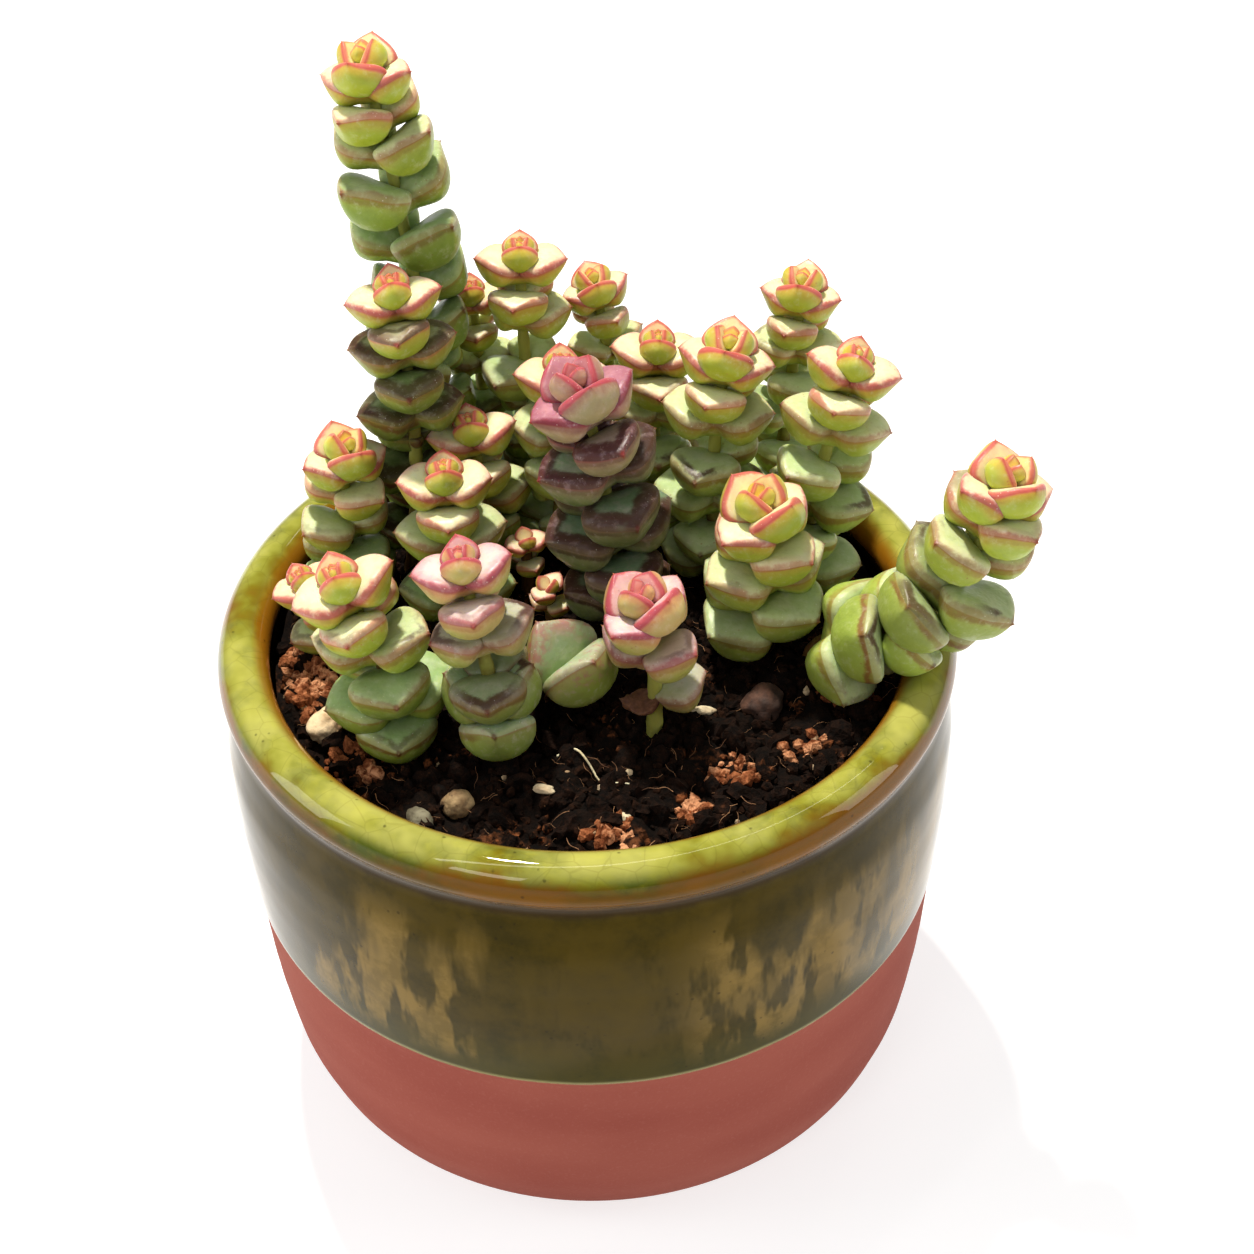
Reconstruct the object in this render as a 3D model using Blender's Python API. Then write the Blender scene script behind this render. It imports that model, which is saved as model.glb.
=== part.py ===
"""A potted string of buttons: a glazed clay bowl pot, its soil and stones, and the leafy stems.

Every size below is in millimetres and is turned into metres where a mesh is made. The origin is the
centre of the pot's flat base, +Z runs up the pot's axis and -Y is the side that faces the viewer.
"""
import math
import random

import bmesh
import bpy
from mathutils import Matrix, Vector
from mathutils.bvhtree import BVHTree

MM = 0.001
GAP = 0.35                 # clearance kept between touching pieces

RIM_RADIUS = 60.2          # outermost reach of the round rim bead
BEAD_RADIUS = 4.2
BEAD_TURNS = range(-42, 226, 33)    # section of the bead, from its crease over the top to the inside
RIM_TOP = 91.4
NECK_RADIUS = 52.0         # inside wall under the bead
FLOOR_TOP = 7.0            # upper face of the pot's floor
POT_STEPS = 32             # flats round the turned pot

SOIL_LEVEL = 84.6
SOIL_STEPS = 24
SOIL_RINGS = (9.0, 19.5, 30.0, 40.5, 51.0)
SOIL_DROP = 1.2            # how much lower the soil lies beside the wall
# Lumps of the soil's surface: height, turns along x and y in radians per millimetre, and start.
LUMPS = [(0.4, 0.31, 0.27, 0.9), (0.4, 0.31, -0.27, 1.7), (0.55, 0.63, -0.52, 0.7), (0.35, 0.95, 0.88, 1.57)]
STEM_RADIUS = 1.35
STEM_DEPTH = 7.0           # how far a stem goes down into its hole
HOLE_RADIUS = 2.1
HOLE_SIDES = 6
HOLE_TOP = SOIL_LEVEL + 6.0

# Outer wall of the pot, from the flat base up to the crease under the bead: radius, height.
BODY_PROFILE = [(43.6, 0.0), (49.8, 2.0), (53.9, 6.5), (56.4, 14.0), (58.1, 28.0), (59.0, 43.9),
                (59.4, 44.5), (60.3, 60.0), (60.4, 73.0), (59.0, 82.6)]
BORE_PROFILE = [(NECK_RADIUS, 76.0), (NECK_RADIUS, 50.0), (48.6, 20.0), (37.0, FLOOR_TOP)]

WAIST = 0.46               # a leaf's width at the stem, as a share of its widest
WIDEST = 0.40              # where along a leaf it is widest
TAPER = 1.9                # how full a leaf's outline stays towards its tip
DEEPEST = 0.40             # where along a leaf its underside is deepest
ROOT_DEPTH = 0.70          # a leaf's depth at the stem, as a share of its deepest
DEPTH_FALL = (2.6, 0.75)   # how full a leaf's underside stays towards its tip
KEEL = (0.8, 0.5)          # squareness of the underside's section at the stem, and what it loses to the tip
FACE_EDGE = 8              # how tightly the face turns down at the margin
YOUNG_LEAF = (8.4, 9.3, 4.2)     # length, width and depth of the head's open pair
OLD_LEAF = (10.0, 12.0, 5.4)     # and of a grown pair
ARCHES = (22, 12)          # arch of young and of grown leaves, in degrees
GROWN_AFTER = 3.0          # pairs from the head to the first grown one
HEAD_ARCH = -12            # inner leaves of a head curl in
MAX_CLIMB = 72             # steepest that a leaf is folded up, in degrees
LEAST_WIDTH, LEAST_DEPTH = 0.25, 0.3    # shares that a shortened leaf keeps in any case
TEST_ROOT = 0.12           # where along a leaf the test for touching begins
BEND_STEPS = 12            # straight steps that a leaf's bent middle line is summed from
DISH = 0.06                # how far a leaf's face sinks in, as a share of its width
ROUND = 0.15               # how far its face swells up inside the margin, as a share of its depth
PAIR_STATIONS = (0.40, 0.80)
BUD_STATIONS = (0.52,)
LOW_ANGLES = (0, 58, 122, 180)
SMALL_SHOOT = 0.6          # stems of a smaller scale than this have plainer leaves
TUBE_SIDES = 5
STEM_TAPER = 0.4           # share of its radius that a stem loses up to its end inside the head
TOP_SINK = 0.3             # how far under the root of the innermost pair a stem ends
TUBE_RUN = 12.0            # length of one straight run of a stem
SOIL_ENTRY = 0.5           # how far under the soil's level a stem turns straight down
LEAN_EASE = 0.35           # how much of a stem's lean comes in its upper part
CORNER_CUTS = 3            # how often the corners of a marked route are cut
CORNER_SHARE = 0.25        # and how far along its straight lines

# Leafy stems as they stand in the photograph. The foot (x, y) is where the stem leaves the soil. The
# crown is the middle of the outermost open pair of the head. The bow bends the middle of the stem.
# Each pair of leaves has its distance below the crown and the turn of its first leaf in degrees, and
# some have their own climb as a third number.
STEMS = [
    ("leafy_stem_tall", (-25.5, 34.5), (-30, 38, 166.5), (2, 0, 0), 1.0,
     ((0, -18), (5, 54), (10.6, -33), (18.5, 45), (27, -37), (35.5, 42), (43.5, -35), (51, 52),
      (58, -30), (64.5, 55), (70.5, -30), (76, 60))),
    ("leafy_stem_left_back", (-29.5, 21), (-28, 21.5, 137.4), (2, 0, 0), 0.98,
     ((0, 6), (3.8, -86), (8, 10), (12.8, -84), (19.6, 12), (25.5, -80), (31.5, 8), (37.5, -84),
      (43.5, 6))),
    ("leafy_stem_back_left", (-6.5, 37), (-8.5, 38.5, 132.6), (-1, 0, 0), 0.98,
     ((0, 0), (5, -90), (9, 0), (18, -102), (25, -10), (31.5, -100), (38, 0))),
    ("leafy_stem_back_small", (6, 43), (4, 43, 123.5), (1, 0, 0), 0.78,
     ((0, 15), (4, -65), (10, 20), (16.5, -70), (23, 15), (30, -70))),
    ("leafy_stem_back_middle", (12, 30), (13.3, 30, 119.5), (0, 0, 0), 0.98,
     ((0, 0), (4, -85), (9.8, 5), (16, -85), (22, 0), (28, -85))),
    ("leafy_stem_back_right", (23, 17), (23.5, 17, 126), (-1.4, 0, 0), 1.0,
     ((0, -12), (4.3, -110), (9, -10), (16.8, -115), (24.2, -10), (31, -105), (36.5, -15))),
    ("leafy_stem_far_right", (33, 31), (37, 33, 127.3), (0.5, 0, 0), 0.86,
     ((0, -20), (3.8, -115), (8, 0), (13.5, -80), (20, 5), (27, -90), (34, 0))),
    ("leafy_stem_right_back", (36, 12), (43, 13, 126.3), (-0.5, 0, 0), 1.0,
     ((0, -6), (4.2, -110), (9.2, -10), (16.6, -135), (23.2, -20), (29.5, -110), (36, -20))),
    ("leafy_stem_leaning", (36, -5), (62.7, -14, 121.2), (0, 0, 0), 1.08,
     ((0, -12), (3.8, -85), (9.9, -5), (17.4, -80), (23.9, 5), (29.2, -85), (34, 5), (38.5, -80))),
    ("leafy_stem_purple", (3, 3), (1.3, 3, 129), (2, 0, 0), 1.14,
     ((0, 28), (5.6, -58), (10.7, 27), (17.2, -60), (23.1, 24), (29.4, -64), (35.9, 26))),
    ("leafy_stem_lime", (-4, 24), (-2.6, 24, 119.5), (0, 0, 0), 1.0,
     ((0, 2), (4.4, -88), (9.5, 0), (15, -90), (21, 4), (27, -86))),
    ("leafy_stem_mid_left", (-15, 21), (-17.3, 21, 111), (0, 0, 0), 0.96,
     ((0, 4), (5.5, -80), (11, 10), (16.5, -85), (21.5, 0))),
    ("leafy_stem_left", (-39, 14), (-38, 14, 111.5), (-0.5, 0, 0), 0.94,
     ((0, 30), (4.6, -40), (10.5, 42), (16, -48), (21.5, 36))),
    ("leafy_stem_mid_front", (-21, 8), (-21.6, 8, 111), (0, 0, 0), 1.0,
     ((0, 0), (4, -88), (9, 2), (14.8, -85), (20.5, 0))),
    ("leafy_stem_front_left", (-31, -19.5), (-35.5, -20, 113), (1.2, 0, 0), 1.08,
     ((0, 12), (4.4, -100), (10, -14), (15.9, -75), (20.9, 18), (25, -80))),
    ("leafy_stem_rim_left", (-41, 1), (-44.6, 1, 97.5), (0, 0, 0), 0.72,
     ((0, 25), (4.4, -60), (8.6, 30))),
    ("leafy_stem_front_pink", (-13.6, -23.5), (-17.8, -22, 117), (-0.2, 0, 0), 1.0,
     ((0, 5), (4.6, -85), (11, 8), (19, -92), (24.2, -4, 46), (28.6, -92, 30))),
    ("leafy_stem_front_low", (-2.0, -14.5), (-2.4, -15.5, 90.5), (0, 0, 0), 1.45,
     ((0, -48),)),
    ("leafy_stem_front_small", (10, -21), (9.3, -21, 106), (0.5, 0, 0), 1.08,
     ((0, 48), (6, -36), (14.2, 8))),
    ("leafy_stem_right", (27.5, -2), (28.4, -3, 109.4), (0.8, 0, 0), 1.16,
     ((0, 42), (4.4, -50), (9.2, 24), (14, -42), (18.4, 35))),
    ("leafy_stem_hidden_back", (-15.5, 43), (-17, 43, 123.5), (0, 0, 0), 0.76,
     ((0, 0), (5, -85), (11, 5), (18, -90), (25, 0), (32, -85))),
    ("side_shoot_middle", (-9.5, 13), (-9.5, 12.5, 95.5), (0, 0, 0), 0.5,
     ((0, 20), (3.4, -70))),
    ("side_shoot_front", (-5.5, 4), (-6, 3, 93.5), (0, 0, 0), 0.46,
     ((0, 60), (3.2, -30))),
]
# The leaning stem's middle line between its foot and its crown: out over the rim, then up.
LEANING_ROUTE = [(37.5, -7.5, 89.5), (41.4, -11.5, 93.2), (45.0, -13.5, 93.8), (49.2, -14, 96.3),
                 (53.1, -14, 99.6), (56.8, -14, 104.9), (60.1, -14, 111.9)]
# How a leaf gives way to a neighbour, mildest first: share of its size, and degrees folded up.
FOLDS = [(1.0, 0), (0.93, 3), (0.86, 6), (0.79, 10), (0.72, 15), (0.65, 22), (0.58, 32),
         (0.5, 42), (0.42, 52)]
STUB = (2.0, 2.4, 1.5, 0.3, 0.0)    # what is left of a leaf that finds no room
TWISTS = (0, 9, -9, 18, -18)   # how far a pair may turn round its stem to find room, in degrees
TWIST_COST = 0.006             # what a degree of twist costs, in shares of a leaf's size
NO_ROOM_COST = 1.0
# How a stem grows: the climb of the leaves in the head's open pair and in older pairs, in degrees, and
# the size of its older leaves against the usual.
USUAL_HABIT = (17, 6, 1.0)
HABITS = {"leafy_stem_tall": (20, 26, 1.14), "leafy_stem_back_small": (22, 20, 1.0),
          "leafy_stem_left_back": (14, 5, 0.95), "leafy_stem_leaning": (20, 16, 1.1),
          "leafy_stem_front_low": (58, 58, 1.0), "leafy_stem_front_small": (24, 6, 0.82)}
# The head's inner pairs above the crown: height, turn, length, width, depth and tilt at full size.
OPEN_HEAD = [(1.9, 90, 7.4, 9.0, 3.6, 44), (3.7, 182, 5.0, 5.8, 2.6, 60)]
CLOSED_HEAD = [(1.8, 90, 5.4, 6.2, 2.8, 56), (3.2, 182, 3.2, 3.4, 1.8, 68)]
LOW_HEAD = [(1.2, 90, 2.6, 2.8, 1.4, 60)]
OPEN_HEADS = ("tall", "back_small", "back_right", "far_right", "leaning", "purple", "left",
              "front_small", "right")

# Stones in the soil: middle (x, y), half sizes along x, y and z, turn in degrees.
STONES = [
    ("stone_cream", (-41.8, -18.2), (3.6, 2.6, 2.3), 60),
    ("stone_tan", (-20.8, -36.5), (2.4, 2.2, 2.6), 10),
    ("stone_grey", (-26.5, -38.6), (2.6, 1.9, 1.7), 120),
    ("stone_brown", (27.5, -17.5), (3.6, 3.1, 2.8), 30),
    ("stone_small", (-36.0, -13.0), (1.9, 1.5, 1.3), 80),
    ("stone_rim_right", (44.0, 17.5), (2.6, 2.1, 2.0), 15),
]
STONE_ROUGH = 0.09         # how uneven a stone is, as a share of its size
STONE_TILT = 0.3           # how far it leans over, in radians
STONE_LIFT = 0.35          # how high its middle stands above the soil, as a share of its height

# Plain colours for each kind of piece.
GLAZE = (0.16, 0.13, 0.03)
DARK_SOIL = (0.025, 0.016, 0.010)
PALE_STONE = (0.30, 0.24, 0.16)
LEAF_GREEN = (0.33, 0.42, 0.16)


def new_object(name, mesh_verts, faces, place=(0.0, 0.0, 0.0)):
    """A closed mesh object from points in millimetres, its origin at the given place."""
    origin = Vector(place)
    mesh = bpy.data.meshes.new(name)
    mesh.from_pydata([tuple((Vector(v) - origin) * MM) for v in mesh_verts], [], faces)
    work = bmesh.new()
    work.from_mesh(mesh)
    bmesh.ops.recalc_face_normals(work, faces=work.faces)
    work.to_mesh(mesh)
    work.free()
    obj = bpy.data.objects.new(name, mesh)
    obj.location = origin * MM
    bpy.context.scene.collection.objects.link(obj)
    return obj


def finish(obj, material, smooth_angle=50):
    """One material, and round faces shaded smooth."""
    obj.data.materials.clear()
    obj.data.materials.append(material)
    obj.data.shade_smooth()
    obj.data.set_sharp_from_angle(angle=math.radians(smooth_angle))


def plain_material(name, colour, roughness):
    material = bpy.data.materials.new(name)
    material.use_nodes = True
    shader = material.node_tree.nodes["Principled BSDF"]
    shader.inputs["Base Color"].default_value = (*colour, 1.0)
    shader.inputs["Roughness"].default_value = roughness
    return material


def join_or_cut(obj, others, operation):
    """Union with, or difference of, every object in others at once, then remove them."""
    helpers = bpy.data.collections.new("helpers")
    bpy.context.scene.collection.children.link(helpers)
    for other in others:
        helpers.objects.link(other)
        other.hide_render = True
        other.display_type = "WIRE"
    cut = obj.modifiers.new("join", "BOOLEAN")
    cut.operation = operation
    cut.operand_type = "COLLECTION"
    cut.collection = helpers
    cut.solver = "MANIFOLD"
    graph = bpy.context.evaluated_depsgraph_get()
    result = bpy.data.meshes.new_from_object(obj.evaluated_get(graph))
    obj.modifiers.remove(cut)
    obj.data = result
    for other in others:
        bpy.data.objects.remove(other)
    bpy.data.collections.remove(helpers)


def turned(name, profile, steps):
    """A profile of (radius, height) points, closed on the axis, turned into a solid."""
    work = bmesh.new()
    verts = [work.verts.new((radius * MM, 0.0, height * MM)) for radius, height in profile]
    edges = [work.edges.new(pair) for pair in zip(verts, verts[1:])]
    bmesh.ops.spin(work, geom=verts + edges, cent=(0, 0, 0), axis=(0, 0, 1),
                   angle=math.tau, steps=steps, use_duplicate=False)
    bmesh.ops.remove_doubles(work, verts=work.verts, dist=0.00001)
    bmesh.ops.recalc_face_normals(work, faces=work.faces)
    mesh = bpy.data.meshes.new(name)
    work.to_mesh(mesh)
    work.free()
    obj = bpy.data.objects.new(name, mesh)
    bpy.context.scene.collection.objects.link(obj)
    return obj


def drum(name, centre, radius, low, high, sides):
    """A plain upright cylinder, used to cut a hole."""
    verts = []
    for height in (low, high):
        for step in range(sides):
            turn = math.tau * step / sides
            verts.append((centre[0] + radius * math.cos(turn), centre[1] + radius * math.sin(turn), height))
    faces = [tuple(range(sides)), tuple(range(sides, 2 * sides))]
    faces += [(k, (k + 1) % sides, sides + (k + 1) % sides, sides + k) for k in range(sides)]
    return new_object(name, verts, faces)


def make_pot():
    bead_middle = (RIM_RADIUS - BEAD_RADIUS, RIM_TOP - BEAD_RADIUS)
    bead = []
    for degrees in BEAD_TURNS:
        turn = math.radians(degrees)
        bead.append((bead_middle[0] + BEAD_RADIUS * math.cos(turn),
                     bead_middle[1] + BEAD_RADIUS * math.sin(turn)))
    profile = [(0.0, 0.0)] + BODY_PROFILE + bead + BORE_PROFILE + [(0.0, FLOOR_TOP)]
    pot = turned("pot", profile, POT_STEPS)
    finish(pot, plain_material("glazed_clay", GLAZE, 0.12), 35)
    return pot


def soil_height(x, y):
    """Height of the lumpy soil, lower beside the pot's wall than in the middle."""
    lumps = sum(high * math.sin(along * x + across * y + start) for high, along, across, start in LUMPS)
    return SOIL_LEVEL + lumps - SOIL_DROP * (math.hypot(x, y) / NECK_RADIUS) ** 4


def make_soil(holes):
    """The soil fills the pot up to its lumpy top; the stems and stones stand in plain holes in it."""
    verts = [(0.0, 0.0, soil_height(0.0, 0.0))]
    for ring, radius in enumerate(SOIL_RINGS):
        for step in range(SOIL_STEPS):
            turn = math.tau * (step + 0.5 * (ring % 2)) / SOIL_STEPS
            x, y = radius * math.cos(turn), radius * math.sin(turn)
            verts.append((x, y, soil_height(x, y)))
    wall = [(radius - GAP, height) for radius, height in BORE_PROFILE]
    wall[-1] = (wall[-1][0], FLOOR_TOP + GAP)
    offset = 0.5 * ((len(SOIL_RINGS) - 1) % 2)
    for radius, height in wall:
        for step in range(SOIL_STEPS):
            turn = math.tau * (step + offset) / SOIL_STEPS
            verts.append((radius * math.cos(turn), radius * math.sin(turn), height))
    verts.append((0.0, 0.0, FLOOR_TOP + GAP))
    faces = []
    for step in range(SOIL_STEPS):
        faces.append((0, 1 + step, 1 + (step + 1) % SOIL_STEPS))
    bands = len(SOIL_RINGS) + len(wall) - 1
    for band in range(bands):
        low, high = 1 + band * SOIL_STEPS, 1 + (band + 1) * SOIL_STEPS
        slant = band < len(SOIL_RINGS) - 1
        for step in range(SOIL_STEPS):
            after = (step + 1) % SOIL_STEPS
            if not slant:
                faces.append((low + step, low + after, high + after, high + step))
            elif band % 2 == 0:
                faces.append((low + step, low + after, high + step))
                faces.append((low + after, high + after, high + step))
            else:
                faces.append((low + step, low + after, high + after))
                faces.append((low + step, high + after, high + step))
    last, tail = 1 + bands * SOIL_STEPS, len(verts) - 1
    faces += [(tail, last + step, last + (step + 1) % SOIL_STEPS) for step in range(SOIL_STEPS)]
    soil = new_object("soil", verts, faces)
    join_or_cut(soil, holes, "DIFFERENCE")
    finish(soil, plain_material("soil", DARK_SOIL, 0.95), 25)
    return soil


def stone_points(middle, half_sizes, turn, seed, grow=0.0):
    """A rough stone: a ball of 80 faces, stretched, dented by a seeded draw and turned."""
    draw = random.Random(seed)
    work = bmesh.new()
    bmesh.ops.create_icosphere(work, subdivisions=2, radius=1.0)
    spin = Matrix.Rotation(math.radians(turn), 3, "Z") @ Matrix.Rotation(STONE_TILT, 3, "X")
    lift = soil_height(*middle) + STONE_LIFT * half_sizes[2]
    points = []
    for vert in work.verts:
        rough = 1.0 + draw.uniform(-STONE_ROUGH, STONE_ROUGH)
        point = Vector([vert.co[k] * (half_sizes[k] * rough + grow) for k in range(3)])
        points.append(spin @ point + Vector((*middle, lift)))
    faces = [tuple(v.index for v in face.verts) for face in work.faces]
    work.free()
    return points, faces


def make_stones():
    """The stones, and the dents that they lie in."""
    stones, dents = [], []
    for number, (name, middle, half_sizes, turn) in enumerate(STONES):
        points, faces = stone_points(middle, half_sizes, turn, number)
        stone = new_object(name, points, faces)
        finish(stone, plain_material(name, PALE_STONE, 0.85), 60)
        stones.append(stone)
        points, faces = stone_points(middle, half_sizes, turn, number, grow=GAP)
        dents.append(new_object("dent", points, faces))
    return stones, dents


class Route:
    """The middle line of a stem, from its end in the soil up to its crown, with its own cross axes."""

    SAMPLES = 48

    def __init__(self, foot, crown, bow):
        base = Vector((*foot, SOIL_LEVEL - STEM_DEPTH))
        start = Vector((*foot, SOIL_LEVEL - SOIL_ENTRY))
        crown, bow = Vector(crown), Vector(bow)
        self.points = [base]
        for k in range(self.SAMPLES + 1):
            t = k / self.SAMPLES
            lean = t + (t * t - t) * LEAN_EASE
            self.points.append(Vector((start.x + (crown.x - start.x) * lean,
                                       start.y + (crown.y - start.y) * lean,
                                       start.z + (crown.z - start.z) * t)) + bow * (4 * t * (1 - t)))
        self.measure()

    def follow(self, marks):
        """Run through the marks instead, with rounded corners."""
        line = [self.points[0], self.points[1]] + [Vector(mark) for mark in marks] + [self.points[-1]]
        for _ in range(CORNER_CUTS):
            cut = [line[0]]
            for a, b in zip(line, line[1:]):
                cut += [a.lerp(b, CORNER_SHARE), b.lerp(a, CORNER_SHARE)]
            line = cut + [line[-1]]
        self.points = line
        self.measure()

    def measure(self):
        """Distances along the line, and its direction and cross axis at each point."""
        self.runs = [0.0]
        for a, b in zip(self.points, self.points[1:]):
            self.runs.append(self.runs[-1] + (b - a).length)
        self.length = self.runs[-1]
        self.tangents, self.sides = [], []
        side = Vector((1, 0, 0))
        for k in range(len(self.points)):
            before, after = self.points[max(k - 1, 0)], self.points[min(k + 1, len(self.points) - 1)]
            tangent = (after - before).normalized()
            side = (side - tangent * side.dot(tangent)).normalized()
            self.tangents.append(tangent)
            self.sides.append(side)

    def at(self, run):
        """Point, tangent and cross axis at a distance along the stem, straight on past its crown."""
        if run >= self.length:
            tangent = self.tangents[-1]
            return self.points[-1] + tangent * (run - self.length), tangent, self.sides[-1]
        k = next(i for i in range(1, len(self.runs)) if self.runs[i] > run)
        share = (run - self.runs[k - 1]) / (self.runs[k] - self.runs[k - 1])
        point = self.points[k - 1].lerp(self.points[k], share)
        tangent = self.tangents[k - 1].lerp(self.tangents[k], share).normalized()
        side = self.sides[k - 1].lerp(self.sides[k], share)
        return point, tangent, (side - tangent * side.dot(tangent)).normalized()

    def frame(self, below_crown, turn):
        """Axes of a pair of leaves: out along its first leaf, across it, and up the stem."""
        point, tangent, side = self.at(self.length - below_crown)
        out = Matrix.Rotation(math.radians(turn), 3, tangent) @ side
        across = tangent.cross(out)
        return point, out, across, tangent


def width_share(u):
    """Half width of a leaf as a share of its widest, from the stem's axis (0) to the tip (1)."""
    if u < WIDEST:
        return WAIST + (1 - WAIST) * math.sin(0.5 * math.pi * u / WIDEST)
    return 1 - ((u - WIDEST) / (1 - WIDEST)) ** TAPER


def depth_share(u):
    """Depth of a leaf's rounded underside as a share of its deepest."""
    if u < DEEPEST:
        return ROOT_DEPTH + (1 - ROOT_DEPTH) * math.sin(0.5 * math.pi * u / DEEPEST)
    return (1 - ((u - DEEPEST) / (1 - DEEPEST)) ** DEPTH_FALL[0]) ** DEPTH_FALL[1]


def leaf_slope(u, size):
    """How steeply a leaf climbs at the share u of its length: an arch flattens out towards the tip."""
    return size[3] + size[4] * (1 - 2 * u)


def leaf_ring(u, size, angles, grow=0.0):
    """Points round a leaf at the share u of its length: x out, y across, z up the stem."""
    length, width, depth = size[:3]
    x, z, step = 0.0, 0.0, u * (length + grow) / BEND_STEPS
    for k in range(BEND_STEPS):
        slope = leaf_slope(u * (k + 0.5) / BEND_STEPS, size)
        x += math.cos(slope) * step
        z += math.sin(slope) * step
    slope = leaf_slope(u, size)
    half = 0.5 * width * width_share(u) + grow
    low = depth * depth_share(u) + grow
    ring = []
    for degrees in angles:
        turn = math.radians(degrees)
        across, lift = math.cos(turn), math.sin(turn)
        if lift > 0.001:
            drop = -low * lift ** (KEEL[0] + KEEL[1] * u)
        else:
            swell = ROUND * low * math.sqrt(max(0.0, 1 - across ** FACE_EDGE))
            drop = swell - DISH * width * lift * lift * (1 - u) + grow
        ring.append(Vector((x - drop * math.sin(slope), half * across, z + drop * math.cos(slope))))
    return ring


def leaf_tip(size, grow=0.0):
    return leaf_ring(1.0, size, (0,), 0.0)[0] + Vector((grow, 0, grow))


def pair_points(first, second, stations, angles):
    """A pair of leaves fused round the stem: rings from one tip to the other."""
    rings = [leaf_ring(u, first, angles) for u in reversed(stations)]
    middle = tuple(0.5 * (a + b) for a, b in zip(first, second))
    rings.append(leaf_ring(0.0, middle, angles))
    for u in stations:
        rings.append([Vector((-p.x, p.y, p.z)) for p in leaf_ring(u, second, angles)])
    far = leaf_tip(second)
    points = [leaf_tip(first)] + [p for ring in rings for p in ring] + [Vector((-far.x, far.y, far.z))]
    count = len(angles)
    faces = []
    for k in range(count):
        after = (k + 1) % count
        faces.append((0, 1 + after, 1 + k))
        for band in range(len(rings) - 1):
            low, high = 1 + band * count, 1 + (band + 1) * count
            faces.append((low + k, low + after, high + after, high + k))
        last = 1 + (len(rings) - 1) * count
        faces.append((len(points) - 1, last + k, last + after))
    return points, faces


def half_points(size, stations, angles, grow):
    """One leaf of a pair, a little enlarged, for testing where it would touch."""
    rings = [leaf_ring(u, size, angles, grow) for u in (TEST_ROOT,) + tuple(stations)]
    points = [p for ring in rings for p in ring] + [leaf_tip(size, grow)]
    count, faces = len(angles), []
    for k in range(count):
        after = (k + 1) % count
        for band in range(len(rings) - 1):
            low, high = band * count, (band + 1) * count
            faces.append((low + k, low + after, high + after, high + k))
        last = (len(rings) - 1) * count
        faces.append((last + k, last + after, len(points) - 1))
    return points, faces


def placed(points, frame):
    """Points of a leaf or pair in the part's own frame."""
    origin, out, across, up = frame
    return [origin + out * p.x + across * p.y + up * p.z for p in points]


def grown_size(number, scale, habit):
    """Length, width, depth, climb and arch of the leaves in a pair, counted down from the crown."""
    age = min(1.0, number / GROWN_AFTER)
    scale *= 1 + (habit[2] - 1) * age
    shape = [scale * (young + (old - young) * age) for young, old in zip(YOUNG_LEAF, OLD_LEAF)]
    climb = habit[0] + (habit[1] - habit[0]) * age
    arch = ARCHES[0] + (ARCHES[1] - ARCHES[0]) * age
    return (*shape, math.radians(climb), math.radians(arch))


class Pair:
    """One pair of opposite leaves on a stem."""

    def __init__(self, route, below, turn, size, stations, order):
        self.route, self.below, self.turn = route, below, turn
        self.size, self.stations, self.order = size, stations, order
        self.sizes = [size, size]

    def half(self, side, size, twist, grow):
        points, faces = half_points(size, self.stations, LOW_ANGLES, grow)
        frame = self.route.frame(self.below, self.turn + twist + 180 * side)
        return placed(points, frame), faces

    def shape(self):
        points, faces = pair_points(self.sizes[0], self.sizes[1], self.stations, LOW_ANGLES)
        return placed(points, self.route.frame(self.below, self.turn)), faces


class Block:
    """A solid that a leaf has to stay clear of, with a ball round it for a quick test."""

    def __init__(self, points, faces, owner):
        self.owner = owner
        self.tree = BVHTree.FromPolygons([tuple(p) for p in points], faces)
        low = Vector([min(p[k] for p in points) for k in range(3)])
        high = Vector([max(p[k] for p in points) for k in range(3)])
        self.middle, self.reach = (low + high) / 2, (high - low).length / 2

    def touches(self, other):
        if (self.middle - other.middle).length > self.reach + other.reach:
            return False
        return bool(self.tree.overlap(other.tree))


def head_of(name, scale):
    """The inner pairs of a stem's head."""
    if name == "leafy_stem_front_low":
        return LOW_HEAD
    head = OPEN_HEAD if name.removeprefix("leafy_stem_") in OPEN_HEADS else CLOSED_HEAD
    return head[:1] if scale < SMALL_SHOOT else head


def tube_points(route, past_crown):
    """A slim round stem along its route and on past its crown, closed at both ends."""
    above = route.length + past_crown - STEM_DEPTH
    runs, sides = 1 + max(2, round(above / TUBE_RUN)), TUBE_SIDES
    points, faces = [], []
    for k in range(runs + 1):
        run = STEM_DEPTH + above * (k - 1) / (runs - 1) if k else 0.0
        centre, tangent, side = route.at(run)
        across = tangent.cross(side)
        radius = STEM_RADIUS * (1.0 - STEM_TAPER * k / runs)
        for step in range(sides):
            turn = math.tau * step / sides
            points.append(centre + side * (radius * math.cos(turn)) + across * (radius * math.sin(turn)))
    for k in range(runs):
        low, high = k * sides, (k + 1) * sides
        for step in range(sides):
            after = (step + 1) % sides
            faces.append((low + step, low + after, high + after, high + step))
    faces += [tuple(range(sides)), tuple(range(runs * sides, (runs + 1) * sides))]
    return points, faces


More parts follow.
